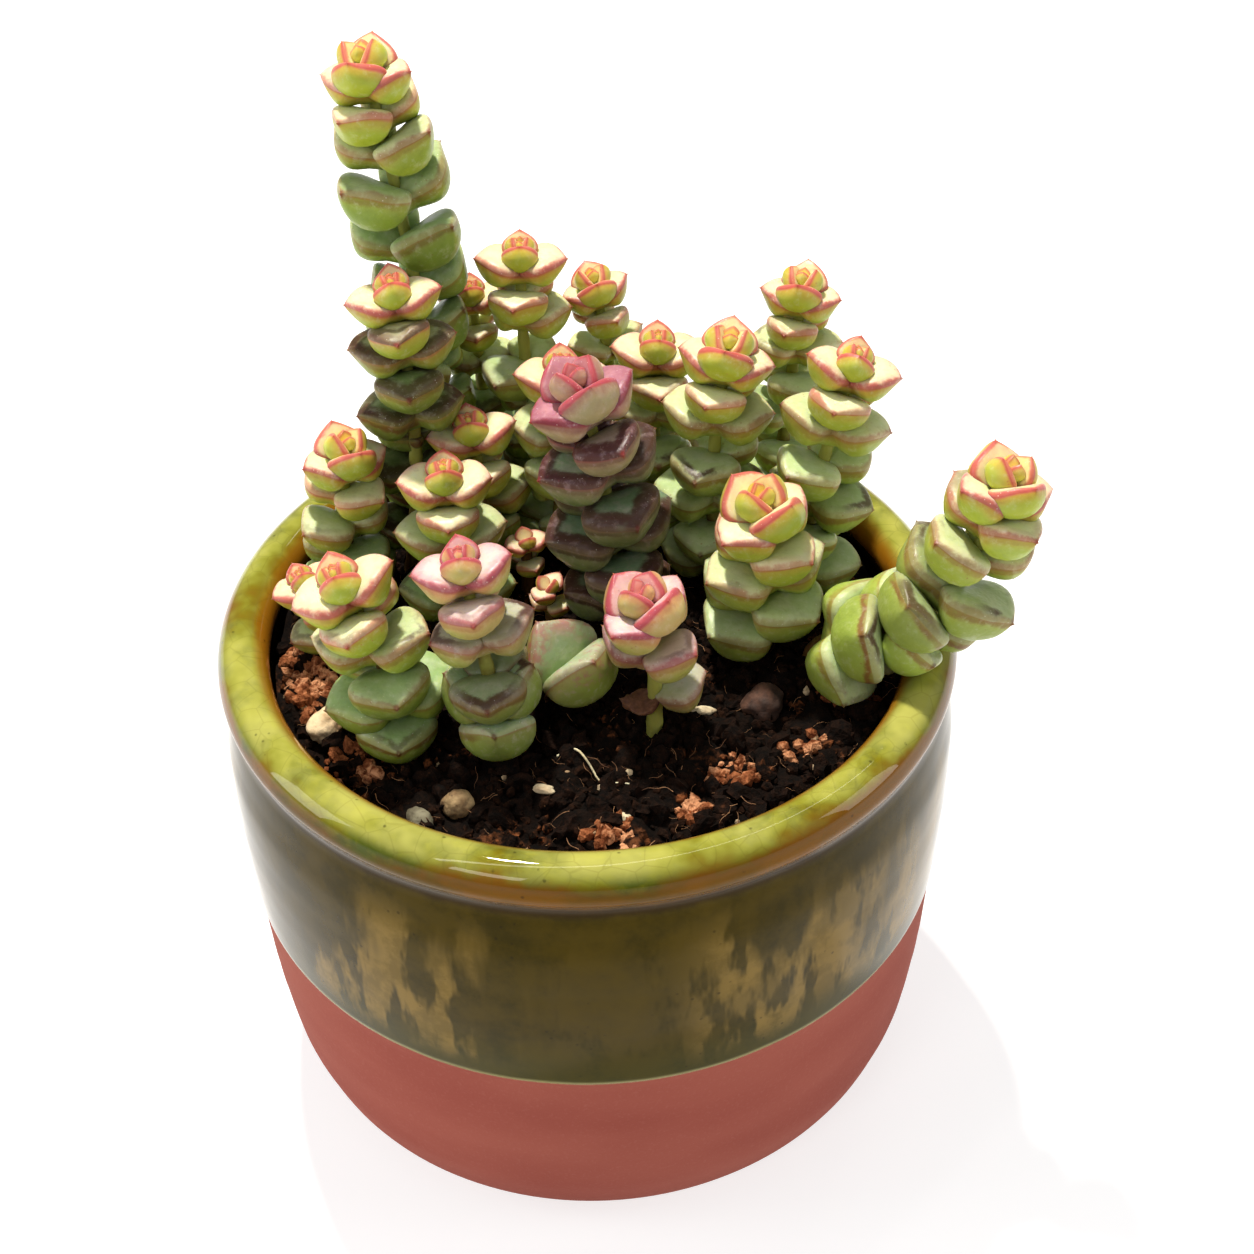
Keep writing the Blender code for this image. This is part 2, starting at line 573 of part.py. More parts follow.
def clear_size(pair, side, twist, blocks, owner):
    """The largest size at which one leaf stays clear of the other plants, the pot and the soil."""
    length, width, depth, tilt, arch = pair.size
    for share, fold in FOLDS:
        size = (length * share, width * (LEAST_WIDTH + (1 - LEAST_WIDTH) * share),
                depth * (LEAST_DEPTH + (1 - LEAST_DEPTH) * share),
                max(tilt, min(tilt + math.radians(fold), math.radians(MAX_CLIMB))), arch)
        test = Block(*pair.half(side, size, twist, GAP), owner)
        if not any(block.owner != owner and block.touches(test) for block in blocks):
            return share, size
    return 0.0, STUB


def settle(plants, blocks):
    """Pairs are laid from the heads down; a leaf that would touch a neighbour is bent up and kept short."""
    queue = sorted((pair.order, owner, k) for owner, pairs in plants.items() for k, pair in enumerate(pairs))
    for _, owner, k in queue:
        pair = plants[owner][k]
        best = None
        for twist in TWISTS:
            sides = [clear_size(pair, side, twist, blocks, owner) for side in (0, 1)]
            score = sum(share for share, _ in sides) - abs(twist) * TWIST_COST
            score -= sum(NO_ROOM_COST for share, _ in sides if share == 0.0)
            if best is None or score > best[0]:
                best = (score, twist, [size for _, size in sides])
        pair.turn += best[1]
        pair.sizes = best[2]
        for side in (0, 1):
            blocks.append(Block(*pair.half(side, pair.sizes[side], 0, 0.0), owner))


def lay_plants(blocks):
    """Routes and pairs of every stem, each leaf clear of what stands beside it."""
    routes, plants = {}, {}
    for name, foot, crown, bow, scale, pairs in STEMS:
        route = Route(foot, crown, bow)
        if name == "leafy_stem_leaning":
            route.follow(LEANING_ROUTE)
        head = head_of(name, scale)
        routes[name] = (route, scale * head[-1][0] - TOP_SINK)
        blocks.append(Block(*tube_points(*routes[name]), name))
        rows = []
        small = scale < SMALL_SHOOT
        habit = HABITS.get(name, USUAL_HABIT)
        for number, (below, turn, *climb) in enumerate(pairs):
            stations = BUD_STATIONS if small else PAIR_STATIONS
            size = grown_size(number, scale, (habit[0], climb[0], habit[2]) if climb else habit)
            rows.append(Pair(route, below, turn, size, stations, number + 1))
        for height, turn, length, width, depth, tilt in head:
            size = (scale * length, scale * width, scale * depth, math.radians(tilt), math.radians(HEAD_ARCH))
            rows.append(Pair(route, -scale * height, pairs[0][1] + turn, size, BUD_STATIONS, 0))
        plants[name] = rows
    settle(plants, blocks)
    return routes, plants


def make_stem(name, route, pairs, foot):
    """A stem with all its pairs of leaves, fused into one body."""
    place = (foot[0], foot[1], SOIL_LEVEL)
    stem = new_object(name, *tube_points(*route), place)
    leaves = [new_object("pair", *pair.shape(), place) for pair in pairs]
    join_or_cut(stem, leaves, "UNION")
    finish(stem, plain_material(name, LEAF_GREEN, 0.45), 40)
    return stem


def main():
    for old in list(bpy.data.objects):
        bpy.data.objects.remove(old)
    pot = make_pot()
    stones, dents = make_stones()
    low = SOIL_LEVEL - STEM_DEPTH - GAP
    stem_holes = [drum("hole", stem[1], HOLE_RADIUS, low, HOLE_TOP, HOLE_SIDES) for stem in STEMS]
    soil = make_soil(dents + stem_holes)
    blocks = []
    for solid in [pot, soil] + stones:
        points = [(solid.location + v.co) / MM for v in solid.data.vertices]
        blocks.append(Block(points, [tuple(face.vertices) for face in solid.data.polygons], solid.name))
    routes, plants = lay_plants(blocks)
    for name, foot, *_ in STEMS:
        make_stem(name, routes[name], plants[name], foot)


main()
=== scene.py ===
"""Looks for a potted string of buttons: glazed bowl pot, peaty soil with stones, and leafy stems.

Lengths are in millimetres until a mesh is made. The stems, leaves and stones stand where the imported
part has them; here they get fine meshes and their own finishes.
"""
import math
import random

import bmesh
import bpy
import numpy as np
from mathutils import Matrix, Quaternion, Vector, noise
from mathutils.bvhtree import BVHTree


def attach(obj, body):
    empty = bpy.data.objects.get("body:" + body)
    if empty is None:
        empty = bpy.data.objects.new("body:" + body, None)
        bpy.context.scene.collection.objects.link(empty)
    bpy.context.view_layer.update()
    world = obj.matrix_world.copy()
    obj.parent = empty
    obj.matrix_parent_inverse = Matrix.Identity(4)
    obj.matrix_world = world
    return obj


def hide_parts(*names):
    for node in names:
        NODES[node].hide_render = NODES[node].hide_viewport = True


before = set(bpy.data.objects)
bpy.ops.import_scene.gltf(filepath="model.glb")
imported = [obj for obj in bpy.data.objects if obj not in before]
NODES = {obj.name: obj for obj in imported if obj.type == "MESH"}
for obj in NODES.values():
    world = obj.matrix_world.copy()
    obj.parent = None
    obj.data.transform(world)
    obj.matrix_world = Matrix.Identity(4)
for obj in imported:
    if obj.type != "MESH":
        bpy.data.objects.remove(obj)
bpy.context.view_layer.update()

MM = 0.001
GAP = 0.35

# The vector noise starts from the clock unless it is seeded.
NOISE_SEED = 7
noise.seed_set(NOISE_SEED)

# Pot.
RIM_RADIUS = 60.2
BEAD_RADIUS = 4.2
BEAD_TURNS = range(-42, 223, 6)
RIM_TOP = 91.4
NECK_RADIUS = 52.0
FLOOR_TOP = 7.0
GLAZE_LINE = 44.2
BODY_PROFILE = [(43.6, 0.0), (49.8, 2.0), (53.9, 6.5), (56.4, 14.0), (58.1, 28.0), (59.0, 43.9),
                (59.4, 44.5), (60.3, 60.0), (60.4, 73.0), (59.0, 82.6)]
BORE_PROFILE = [(NECK_RADIUS, 76.0), (NECK_RADIUS, 50.0), (48.6, 20.0), (37.0, FLOOR_TOP)]
POT_STEPS = 176

# Soil.
SOIL_LEVEL = 84.6
SOIL_REACH = 51.2
SOIL_DROP = 1.2
SOIL_RINGS, SOIL_STEPS = 84, 220
TOP_INSET, TOP_RINGS, TOP_STEPS = 0.8, 24, 60
# Clods: how fine, where the noise starts, how high. Then the grain on them, and how they fade at the wall.
CLODS = [(0.16, (7, 3, 1), 1.3), (0.42, (1, 9, 4), 0.9)]
GRAIN_SCALE, GRAIN_HEIGHT = 1.1, 0.6
FADE_PAST, FADE_RUN = 1.5, 6.0
GROUND_SINK = 0.2
LUMPS = [(0.4, 0.31, 0.27, 0.9), (0.4, 0.31, -0.27, 1.7), (0.55, 0.63, -0.52, 0.7), (0.35, 0.95, 0.88, 1.57)]

# Stems.
STEM_RADIUS = 1.35
STEM_DEPTH = 7.0
SOIL_ENTRY = 0.5
LEAN_EASE = 0.35
CORNER_CUTS = 3
CORNER_SHARE = 0.25
STEM_TAPER = 0.4
TOP_SINK = 0.3
TUBE_RUN, FINE_RUN = 12.0, 1.2
TUBE_SIDES, FINE_SIDES = 5, 12
JOINT_SWELL, JOINT_PITCH = 0.05, 1.7
SMALL_SHOOT = 0.6

# Leaves.
WAIST = 0.46
WIDEST = 0.40
TAPER = 1.9
DEEPEST = 0.40
ROOT_DEPTH = 0.70
DEPTH_FALL = (2.6, 0.75)
KEEL = (0.8, 0.5)
FACE_EDGE = 8
YOUNG_LEAF = (8.4, 9.3, 4.2)
OLD_LEAF = (10.0, 12.0, 5.4)
ARCHES = (22, 12)
GROWN_AFTER = 3.0
HEAD_ARCH = -12
MAX_CLIMB = 72
LEAST_WIDTH, LEAST_DEPTH = 0.25, 0.3
TEST_ROOT = 0.12
BEND_STEPS = 12
DISH = 0.06
ROUND = 0.15
PLUMP = 0.14
PAIR_STATIONS = (0.40, 0.80)
BUD_STATIONS = (0.52,)
LOW_ANGLES = (0, 58, 122, 180)
FINE_ANGLES = (0, 4, 10, 18, 30, 45, 60, 75, 90, 105, 120, 135, 150, 162, 170, 176, 180, 184, 190, 200,
               214, 230, 250, 270, 290, 310, 326, 340, 350, 356)
FINE_STATIONS = (0.05, 0.12, 0.20, 0.28, 0.36, 0.44, 0.52, 0.60, 0.68, 0.75, 0.81, 0.86, 0.90, 0.935,
                 0.96, 0.98, 0.993)
OUTLINE_MARKS = np.linspace(0.0, 1.0, 33)
RIM_DROP, TIP_DROP = 0.8, 0.7
ROUGH_SCALE, ROUGH_DEPTH = 0.22, 0.32
LAYERS = ("rim", "face", "tip", "age", "tone", "bud", "bark", "dry", "dark")

# Name, foot, crown, bow, scale, and for each pair of leaves its distance below the crown, its turn and,
# for some, how steeply its leaves rise.
STEMS = [
    ("tall", (-25.5, 34.5), (-30, 38, 166.5), (2, 0, 0), 1.0,
     ((0, -18), (5, 54), (10.6, -33), (18.5, 45), (27, -37), (35.5, 42), (43.5, -35), (51, 52),
      (58, -30), (64.5, 55), (70.5, -30), (76, 60))),
    ("left_back", (-29.5, 21), (-28, 21.5, 137.4), (2, 0, 0), 0.98,
     ((0, 6), (3.8, -86), (8, 10), (12.8, -84), (19.6, 12), (25.5, -80), (31.5, 8), (37.5, -84),
      (43.5, 6))),
    ("back_left", (-6.5, 37), (-8.5, 38.5, 132.6), (-1, 0, 0), 0.98,
     ((0, 0), (5, -90), (9, 0), (18, -102), (25, -10), (31.5, -100), (38, 0))),
    ("back_small", (6, 43), (4, 43, 123.5), (1, 0, 0), 0.78,
     ((0, 15), (4, -65), (10, 20), (16.5, -70), (23, 15), (30, -70))),
    ("back_middle", (12, 30), (13.3, 30, 119.5), (0, 0, 0), 0.98,
     ((0, 0), (4, -85), (9.8, 5), (16, -85), (22, 0), (28, -85))),
    ("back_right", (23, 17), (23.5, 17, 126), (-1.4, 0, 0), 1.0,
     ((0, -12), (4.3, -110), (9, -10), (16.8, -115), (24.2, -10), (31, -105), (36.5, -15))),
    ("far_right", (33, 31), (37, 33, 127.3), (0.5, 0, 0), 0.86,
     ((0, -20), (3.8, -115), (8, 0), (13.5, -80), (20, 5), (27, -90), (34, 0))),
    ("right_back", (36, 12), (43, 13, 126.3), (-0.5, 0, 0), 1.0,
     ((0, -6), (4.2, -110), (9.2, -10), (16.6, -135), (23.2, -20), (29.5, -110), (36, -20))),
    ("leaning", (36, -5), (62.7, -14, 121.2), (0, 0, 0), 1.08,
     ((0, -12), (3.8, -85), (9.9, -5), (17.4, -80), (23.9, 5), (29.2, -85), (34, 5), (38.5, -80))),
    ("purple", (3, 3), (1.3, 3, 129), (2, 0, 0), 1.14,
     ((0, 28), (5.6, -58), (10.7, 27), (17.2, -60), (23.1, 24), (29.4, -64), (35.9, 26))),
    ("lime", (-4, 24), (-2.6, 24, 119.5), (0, 0, 0), 1.0,
     ((0, 2), (4.4, -88), (9.5, 0), (15, -90), (21, 4), (27, -86))),
    ("mid_left", (-15, 21), (-17.3, 21, 111), (0, 0, 0), 0.96,
     ((0, 4), (5.5, -80), (11, 10), (16.5, -85), (21.5, 0))),
    ("left", (-39, 14), (-38, 14, 111.5), (-0.5, 0, 0), 0.94,
     ((0, 30), (4.6, -40), (10.5, 42), (16, -48), (21.5, 36))),
    ("mid_front", (-21, 8), (-21.6, 8, 111), (0, 0, 0), 1.0,
     ((0, 0), (4, -88), (9, 2), (14.8, -85), (20.5, 0))),
    ("front_left", (-31, -19.5), (-35.5, -20, 113), (1.2, 0, 0), 1.08,
     ((0, 12), (4.4, -100), (10, -14), (15.9, -75), (20.9, 18), (25, -80))),
    ("rim_left", (-41, 1), (-44.6, 1, 97.5), (0, 0, 0), 0.72,
     ((0, 25), (4.4, -60), (8.6, 30))),
    ("front_pink", (-13.6, -23.5), (-17.8, -22, 117), (-0.2, 0, 0), 1.0,
     ((0, 5), (4.6, -85), (11, 8), (19, -92), (24.2, -4, 46), (28.6, -92, 30))),
    ("front_low", (-2.0, -14.5), (-2.4, -15.5, 90.5), (0, 0, 0), 1.45,
     ((0, -48),)),
    ("front_small", (10, -21), (9.3, -21, 106), (0.5, 0, 0), 1.08,
     ((0, 48), (6, -36), (14.2, 8))),
    ("right", (27.5, -2), (28.4, -3, 109.4), (0.8, 0, 0), 1.16,
     ((0, 42), (4.4, -50), (9.2, 24), (14, -42), (18.4, 35))),
    ("hidden_back", (-15.5, 43), (-17, 43, 123.5), (0, 0, 0), 0.76,
     ((0, 0), (5, -85), (11, 5), (18, -90), (25, 0), (32, -85))),
    ("side_shoot_middle", (-9.5, 13), (-9.5, 12.5, 95.5), (0, 0, 0), 0.5,
     ((0, 20), (3.4, -70))),
    ("side_shoot_front", (-5.5, 4), (-6, 3, 93.5), (0, 0, 0), 0.46,
     ((0, 60), (3.2, -30))),
]
LEANING_ROUTE = [(37.5, -7.5, 89.5), (41.4, -11.5, 93.2), (45.0, -13.5, 93.8), (49.2, -14, 96.3),
                 (53.1, -14, 99.6), (56.8, -14, 104.9), (60.1, -14, 111.9)]
FOLDS = [(1.0, 0), (0.93, 3), (0.86, 6), (0.79, 10), (0.72, 15), (0.65, 22), (0.58, 32),
         (0.5, 42), (0.42, 52)]
STUB = (2.0, 2.4, 1.5, 0.3, 0.0)
TWISTS = (0, 9, -9, 18, -18)
TWIST_COST = 0.006
NO_ROOM_COST = 1.0
# How steeply a stem's young and old leaves rise, and how large its old leaves are.
USUAL_HABIT = (17, 6, 1.0)
HABITS = {"tall": (20, 26, 1.14), "back_small": (22, 20, 1.0), "left_back": (14, 5, 0.95),
          "leaning": (20, 16, 1.1), "front_low": (58, 58, 1.0), "front_small": (24, 6, 0.82)}
# The pairs of a head: height, turn, length, width, depth, tilt.
OPEN_HEAD = [(1.9, 90, 7.4, 9.0, 3.6, 44), (3.7, 182, 5.0, 5.8, 2.6, 60)]
CLOSED_HEAD = [(1.8, 90, 5.4, 6.2, 2.8, 56), (3.2, 182, 3.2, 3.4, 1.8, 68)]
LOW_HEAD = [(1.2, 90, 2.6, 2.8, 1.4, 60)]
OPEN_HEADS = ("tall", "back_small", "back_right", "far_right", "leaning", "purple", "left",
              "front_small", "right")
# One more tiny pair in the middle of each head: height above the last pair, length, width, depth, tilt.
HEART = {True: (1.3, 2.9, 3.0, 1.5, 70), False: (0.9, 1.9, 2.0, 1.1, 76)}
HEART_TURN = 91

# How much maroon the leaves of a stem have, and how aged its youngest leaves look.
USUAL_MAROON = 0.4
MAROON = {"tall": 0.3, "left_back": 0.95, "purple": 1.0, "front_pink": 0.85, "front_small": 0.7,
          "right": 0.35, "leaning": 0.8, "lime": 0.1, "left": 0.3, "mid_left": 0.2, "rim_left": 0.5,
          "front_low": 0.1, "side_shoot_middle": 0.05, "side_shoot_front": 0.05}
AGED = {"front_low": 0.6}
OLD_ORDER = 4.8
BUD_START, BUD_STEP = 0.45, 0.3
STALK_AGE, USUAL_BROWNING = 0.3, 0.7
STALK_BROWNING = {"front_small": 0.1}
BROWN_RUN = 40.0
DRY_LEAF = ("front_small", 3)
DRY_SHARES = (0.72, 0.55, 0.35)
DRY_DROOP, DRY_CURL, DRY_CRUMPLE = 0.25, -0.9, 0.7
LEAF_YAW, LEAF_ROLL = 5, 7
MAROON_RANGE = (0.35, 1.5)
FAR_FROM_EDGE = 9.0
TIP_POINT = (0.25, 0, 0.1)

# Stems whose leaves take lighter colours that paint in the light these stems catch; left_back takes darker
# colours that paint in shade over its maroon banding.
PALE_LEAVED = ("leaning", "back_left", "back_small", "back_middle", "back_right", "far_right", "right_back",
               "lime", "right", "mid_left")
FINISHES = {"purple": "purple_leaf", "left_back": "dark_leaf", "front_pink": "pink_leaf",
            "front_small": "pink_leaf", "front_low": "rosy_leaf", **dict.fromkeys(PALE_LEAVED, "pale_leaf")}
FIRST_STEM_SEED = 100

# Name, middle, half sizes, turn, light and dark colour.
STONES = [
    ("stone_cream", (-41.8, -18.2), (3.6, 2.6, 2.3), 60, (226, 200, 160), (176, 138, 96)),
    ("stone_tan", (-20.8, -36.5), (2.4, 2.2, 2.6), 10, (186, 158, 112), (120, 92, 58)),
    ("stone_grey", (-26.5, -38.6), (2.6, 1.9, 1.7), 120, (128, 122, 98), (78, 70, 50)),
    ("stone_brown", (27.5, -17.5), (3.6, 3.1, 2.8), 30, (96, 62, 44), (46, 28, 20)),
    ("stone_small", (-36.0, -13.0), (1.9, 1.5, 1.3), 80, (176, 120, 84), (110, 66, 44)),
    ("stone_rim_right", (44.0, 17.5), (2.6, 2.1, 2.0), 15, (196, 130, 82), (140, 84, 48)),
]
STONE_TILT = 0.3
STONE_LIFT = 0.35

# Bark chips on the soil: name, middle, half sizes, turn.
CHIPS = [("bark_chip_middle", (18.2, -18.5), (2.0, 0.9, 0.5), 10),
         ("bark_chip_right", (43.0, -16.4), (0.9, 2.6, 0.8), 20),
         ("bark_chip_front", (-7.4, -35.6), (1.0, 1.7, 0.6), 70),
         ("bark_chip_low", (4.5, -40.5), (1.4, 0.8, 0.5), 140)]
CHIP_TILT = 0.25
CHIP_LIFT = 0.7

# A root thread on the soil: x, y and height above the ground.
ROOT_MARKS = [(-5.4, -26.5, 0.3), (-2.6, -27.2, 1.0), (-0.6, -29.4, 0.9), (1.2, -31.9, 0.5),
              (3.8, -33.4, 0.7), (6.6, -34.0, 0.2)]
ROOT_RADIUS, ROOT_SIDES = 0.22, 6
FIBRE_MARKS = [(-3.4, 0.4, 0.0), (-1.6, -0.5, 0.5), (0.4, 0.5, 0.9), (2.2, 0.1, 0.3), (3.6, 0.9, 0.1)]
FIBRE_RADIUS, FIBRE_SIDES = 0.08, 3

# Redder, brighter crumbs, partly drier peat and partly painted light where the soil is lit: middle, reach and
# count in a square metre.
RED_PATCHES = [((-43.5, -4.0), 7.0, 900e3), ((-46.0, -12.0), 4.0, 500e3), ((22.0, -32.0), 3.6, 700e3),
               ((15.5, -40.0), 3.0, 500e3), ((3.0, -44.5), 4.0, 600e3), ((-37.0, -27.0), 5.0, 400e3),
               ((42.0, -14.0), 4.5, 500e3), ((34.0, -28.0), 4.0, 260e3), ((43.0, 20.0), 4.5, 600e3)]
FIRST_PATCH_SEED = 40
PATCH_WAVER, PATCH_INSET, PATCH_RINGS, PATCH_STEPS = 0.25, 1.0, 4, 16
# What the scatter nodes ask for.
SCATTER_INPUTS = {"Shape": "Object", "Finish": "Material", "Per square metre": "Float", "Seed": "Int",
                  "Smallest": "Float", "Largest": "Float", "Lean": "Float", "Sink": "Float"}

# Camera and light.
PHOTO_SIDE = 1254.0
PHOTO_FOCAL = 2399.0
CAMERA_AT = (0.0, -298.894, 342.876)
LOOK_AT = (6.596, 0.0, 87.686)
CAMERA_ROLL = -0.0259
SENSOR_WIDTH = 36.0
LIGHT_AIM = (0.0, 0.0, 100.0)
WHITE, SUN_WHITE = (1.0, 1.0, 1.0), (1.0, 0.96, 0.88)
# Name, place, width and height in metres, watts, colour.
LIGHTS = [("key", (-144.0, 384.0, 1228.0), (0.07, 0.07), 21.0, SUN_WHITE),
          ("strip", (-60.0, 60.0, 900.0), (1.6, 0.04), 1.5, WHITE),
          ("front_fill", (-420.0, -700.0, 620.0), (0.3, 0.2), 1.2, WHITE),
          ("left_fill", (-800.0, -60.0, 380.0), (0.3, 0.5), 2.0, WHITE),
          ("right_fill", (800.0, -160.0, 380.0), (0.3, 0.5), 1.6, WHITE)]
SKY_STRENGTH = 0.26
FLOOR_REACH = 40000.0
FLOOR_GREY, FLOOR_GLOW = 0.5, 0.7


def srgb(red, green, blue):
    """A colour given in the 0 to 255 values of a screen, as the shader wants it."""
    def linear(step):
        share = step / 255.0
        return share / 12.92 if share <= 0.04045 else ((share + 0.055) / 1.055) ** 2.4
    return (linear(red), linear(green), linear(blue), 1.0)


class Value:
    """What comes out of a node. Arithmetic on it adds Math nodes."""

    def __init__(self, wiring, socket):
        self.wiring, self.socket = wiring, socket

    def _math(self, operation, *parts):
        return self.wiring.node("ShaderNodeMath", {"operation": operation}, dict(enumerate(parts)))

    def __add__(self, other):
        return self._math("ADD", self, other)

    def __sub__(self, other):
        return self._math("SUBTRACT", self, other)

    def __rsub__(self, other):
        return self._math("SUBTRACT", other, self)

    def __mul__(self, other):
        return self._math("MULTIPLY", self, other)

    def __truediv__(self, other):
        return self._math("DIVIDE", self, other)

    __radd__, __rmul__ = __add__, __mul__


class Wiring:
    """A node tree that is built in code."""

    def __init__(self, tree):
        self.tree = tree

    def node(self, kind, settings, sockets, output=0):
        made = self.tree.nodes.new(kind)
        for key, setting in settings.items():
            setattr(made, key, setting)
        for key, given in sockets.items():
            self.feed(made.inputs[key], given)
        return Value(self, made.outputs[output])

    def feed(self, socket, given):
        if isinstance(given, Value):
            self.tree.links.new(given.socket, socket)
        else:
            socket.default_value = given


class Paint(Wiring):
    """One material and the nodes it is built from."""

    def __init__(self, name, colours=None):
        self.material = bpy.data.materials.new(name)
        self.material.use_nodes = True
        self.colours = colours
        super().__init__(self.material.node_tree)
        self.shader = self.tree.nodes["Principled BSDF"]
        self.place = self.node("ShaderNodeTexCoord", {}, {}, "Object")

    def feed(self, socket, given):
        """A colour may be given by its name."""
        super().feed(socket, srgb(*self.colours[given]) if isinstance(given, str) else given)

    def set(self, **sockets):
        """Feed the Principled shader; an underscore in a name stands for a space."""
        for name, given in sockets.items():
            self.feed(self.shader.inputs[name.replace("_", " ")], given)

    def mix(self, share, first, second):
        return self.node("ShaderNodeMix", {"data_type": "RGBA"}, {0: share, 6: first, 7: second}, 2)

    def layered(self, base, *layers):
        """Layers of colour over a base, each given by its share and its colour."""
        for share, colour in layers:
            base = self.mix(share, base, colour)
        return base

    def ease(self, value, low, high):
        """0 below low, 1 above high, smooth between; low may be the greater one."""
        return self.node("ShaderNodeMapRange", {"interpolation_type": "SMOOTHSTEP"},
                         {"Value": value, "From Min": low, "From Max": high})

    def size_of(self, value):
        return self.node("ShaderNodeMath", {"operation": "ABSOLUTE"}, {0: value})

    def along(self, axis):
        """The place along one axis, in millimetres."""
        return self.node("ShaderNodeSeparateXYZ", {}, {"Vector": self.place}, axis) / MM

    def cloud(self, scale, detail=3.0, roughness=0.55, stretch=(1.0, 1.0, 1.0)):
        """Soft noise; scale counts features in a metre."""
        place = self.node("ShaderNodeMapping", {}, {"Vector": self.place, "Scale": stretch})
        return self.node("ShaderNodeTexNoise", {},
                         {"Vector": place, "Scale": scale, "Detail": detail, "Roughness": roughness})

    def cells(self, scale, feature="F1"):
        """Distance from the nearest of scattered points, or from the edges between their cells."""
        return self.node("ShaderNodeTexVoronoi", {"feature": feature}, {"Vector": self.place, "Scale": scale},
                         "Distance")

    def given(self, name):
        """A value kept with the mesh's points."""
        return self.node("ShaderNodeAttribute", {"attribute_name": name}, {}, "Fac")

    def relief(self, height, depth, strength):
        return self.node("ShaderNodeBump", {}, {"Height": height, "Distance": depth, "Strength": strength})


def soil_height(x, y):
    """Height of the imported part's soil, which is smoother than the ground of the mesh."""
    lumps = sum(high * math.sin(along * x + across * y + start) for high, along, across, start in LUMPS)
    return SOIL_LEVEL + lumps - SOIL_DROP * (math.hypot(x, y) / NECK_RADIUS) ** 4


def circle(steps):
    return [math.tau * step / steps for step in range(steps)]


def shell_faces(count, rings, start=True, end=True):
    """Faces round rings of count points; start and end say where a single point closes the form."""
    first, faces = int(start), []
    last = first + (rings - 1) * count
    for step in range(count):
        after = (step + 1) % count
        if start:
            faces.append((0, 1 + step, 1 + after))
        for low in range(first, last, count):
            faces.append((low + step, low + after, low + count + after, low + count + step))
        if end:
            faces.append((last + step, last + after, last + count))
    return faces


def swept(rows, sides):
    """A round rod; each row gives its centre, its two cross axes and its radius there."""
    points = [centre + side * (radius * math.cos(turn)) + up * (radius * math.sin(turn))
              for centre, side, up, radius in rows for turn in circle(sides)]
    ends = [tuple(range(sides)), tuple(range(len(points) - sides, len(points)))]
    return points, shell_faces(sides, len(rows), False, False) + ends


def cut_corners(line, rounds):
    """The line with its corners cut off, round after round."""
    for _ in range(rounds):
        cut = [line[0]]
        for a, b in zip(line, line[1:]):
            cut += [a.lerp(b, CORNER_SHARE), b.lerp(a, CORNER_SHARE)]
        line = cut + [line[-1]]
    return line


def linked(name, data):
    """A new object in the scene."""
    obj = bpy.data.objects.new(name, data)
    bpy.context.scene.collection.objects.link(obj)
    return obj


def mesh_object(name, points, faces, material=None, layers=None, smooth=True):
    """A mesh object from points in millimetres, with its faces turned outwards."""
    mesh = bpy.data.meshes.new(name)
    mesh.from_pydata([(p[0] * MM, p[1] * MM, p[2] * MM) for p in points], [], faces)
    work = bmesh.new()
    work.from_mesh(mesh)
    bmesh.ops.recalc_face_normals(work, faces=work.faces)
    work.to_mesh(mesh)
    work.free()
    for layer, values in (layers or {}).items():
        mesh.attributes.new(layer, "FLOAT", "POINT").data.foreach_set("value", values)
    if material:
        mesh.materials.append(material)
    if smooth:
        mesh.shade_smooth()
    return linked(name, mesh)


def piece(obj, node=None):
    """A finished piece of the plant, standing for a CAD node where one is named."""
    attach(obj, "root")
    if node:
        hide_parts(node)


class Route:
    """The middle line of a stem, from its end in the soil up to its crown, with its own cross axes."""

    SAMPLES = 48

    def __init__(self, foot, crown, bow):
        start = Vector((*foot, SOIL_LEVEL - SOIL_ENTRY))
        crown, bow = Vector(crown), Vector(bow)
        self.points = [Vector((*foot, SOIL_LEVEL - STEM_DEPTH))]
        for k in range(self.SAMPLES + 1):
            t = k / self.SAMPLES
            lean = t + (t * t - t) * LEAN_EASE
            self.points.append(Vector((start.x + (crown.x - start.x) * lean,
                                       start.y + (crown.y - start.y) * lean,
                                       start.z + (crown.z - start.z) * t)) + bow * (4 * t * (1 - t)))
        self.measure()

    def follow(self, marks):
        """Lead the line through the marks instead."""
        self.points = cut_corners([*self.points[:2], *map(Vector, marks), self.points[-1]], CORNER_CUTS)
        self.measure()

    def measure(self):
        self.runs = [0.0]
        for a, b in zip(self.points, self.points[1:]):
            self.runs.append(self.runs[-1] + (b - a).length)
        self.length = self.runs[-1]
        self.tangents, self.sides = [], []
        side = Vector((1, 0, 0))
        for k in range(len(self.points)):
            before, after = self.points[max(k - 1, 0)], self.points[min(k + 1, len(self.points) - 1)]
            tangent = (after - before).normalized()
            side = (side - tangent * side.dot(tangent)).normalized()
            self.tangents.append(tangent)
            self.sides.append(side)

    def at(self, run):
        if run >= self.length:
            tangent = self.tangents[-1]
            return self.points[-1] + tangent * (run - self.length), tangent, self.sides[-1]
        k = next(i for i in range(1, len(self.runs)) if self.runs[i] > run)
        share = (run - self.runs[k - 1]) / (self.runs[k] - self.runs[k - 1])
        point = self.points[k - 1].lerp(self.points[k], share)
        tangent = self.tangents[k - 1].lerp(self.tangents[k], share).normalized()
        side = self.sides[k - 1].lerp(self.sides[k], share)
        return point, tangent, (side - tangent * side.dot(tangent)).normalized()

    def frame(self, below_crown, turn):
        """The place and axes of a leaf: its origin, out, across and up the stem."""
        point, tangent, side = self.at(self.length - below_crown)
        out = Matrix.Rotation(math.radians(turn), 3, tangent) @ side
        return point, out, tangent.cross(out), tangent


def width_share(u):
    if u < WIDEST:
        return WAIST + (1 - WAIST) * math.sin(0.5 * math.pi * u / WIDEST)
    return 1 - ((u - WIDEST) / (1 - WIDEST)) ** TAPER


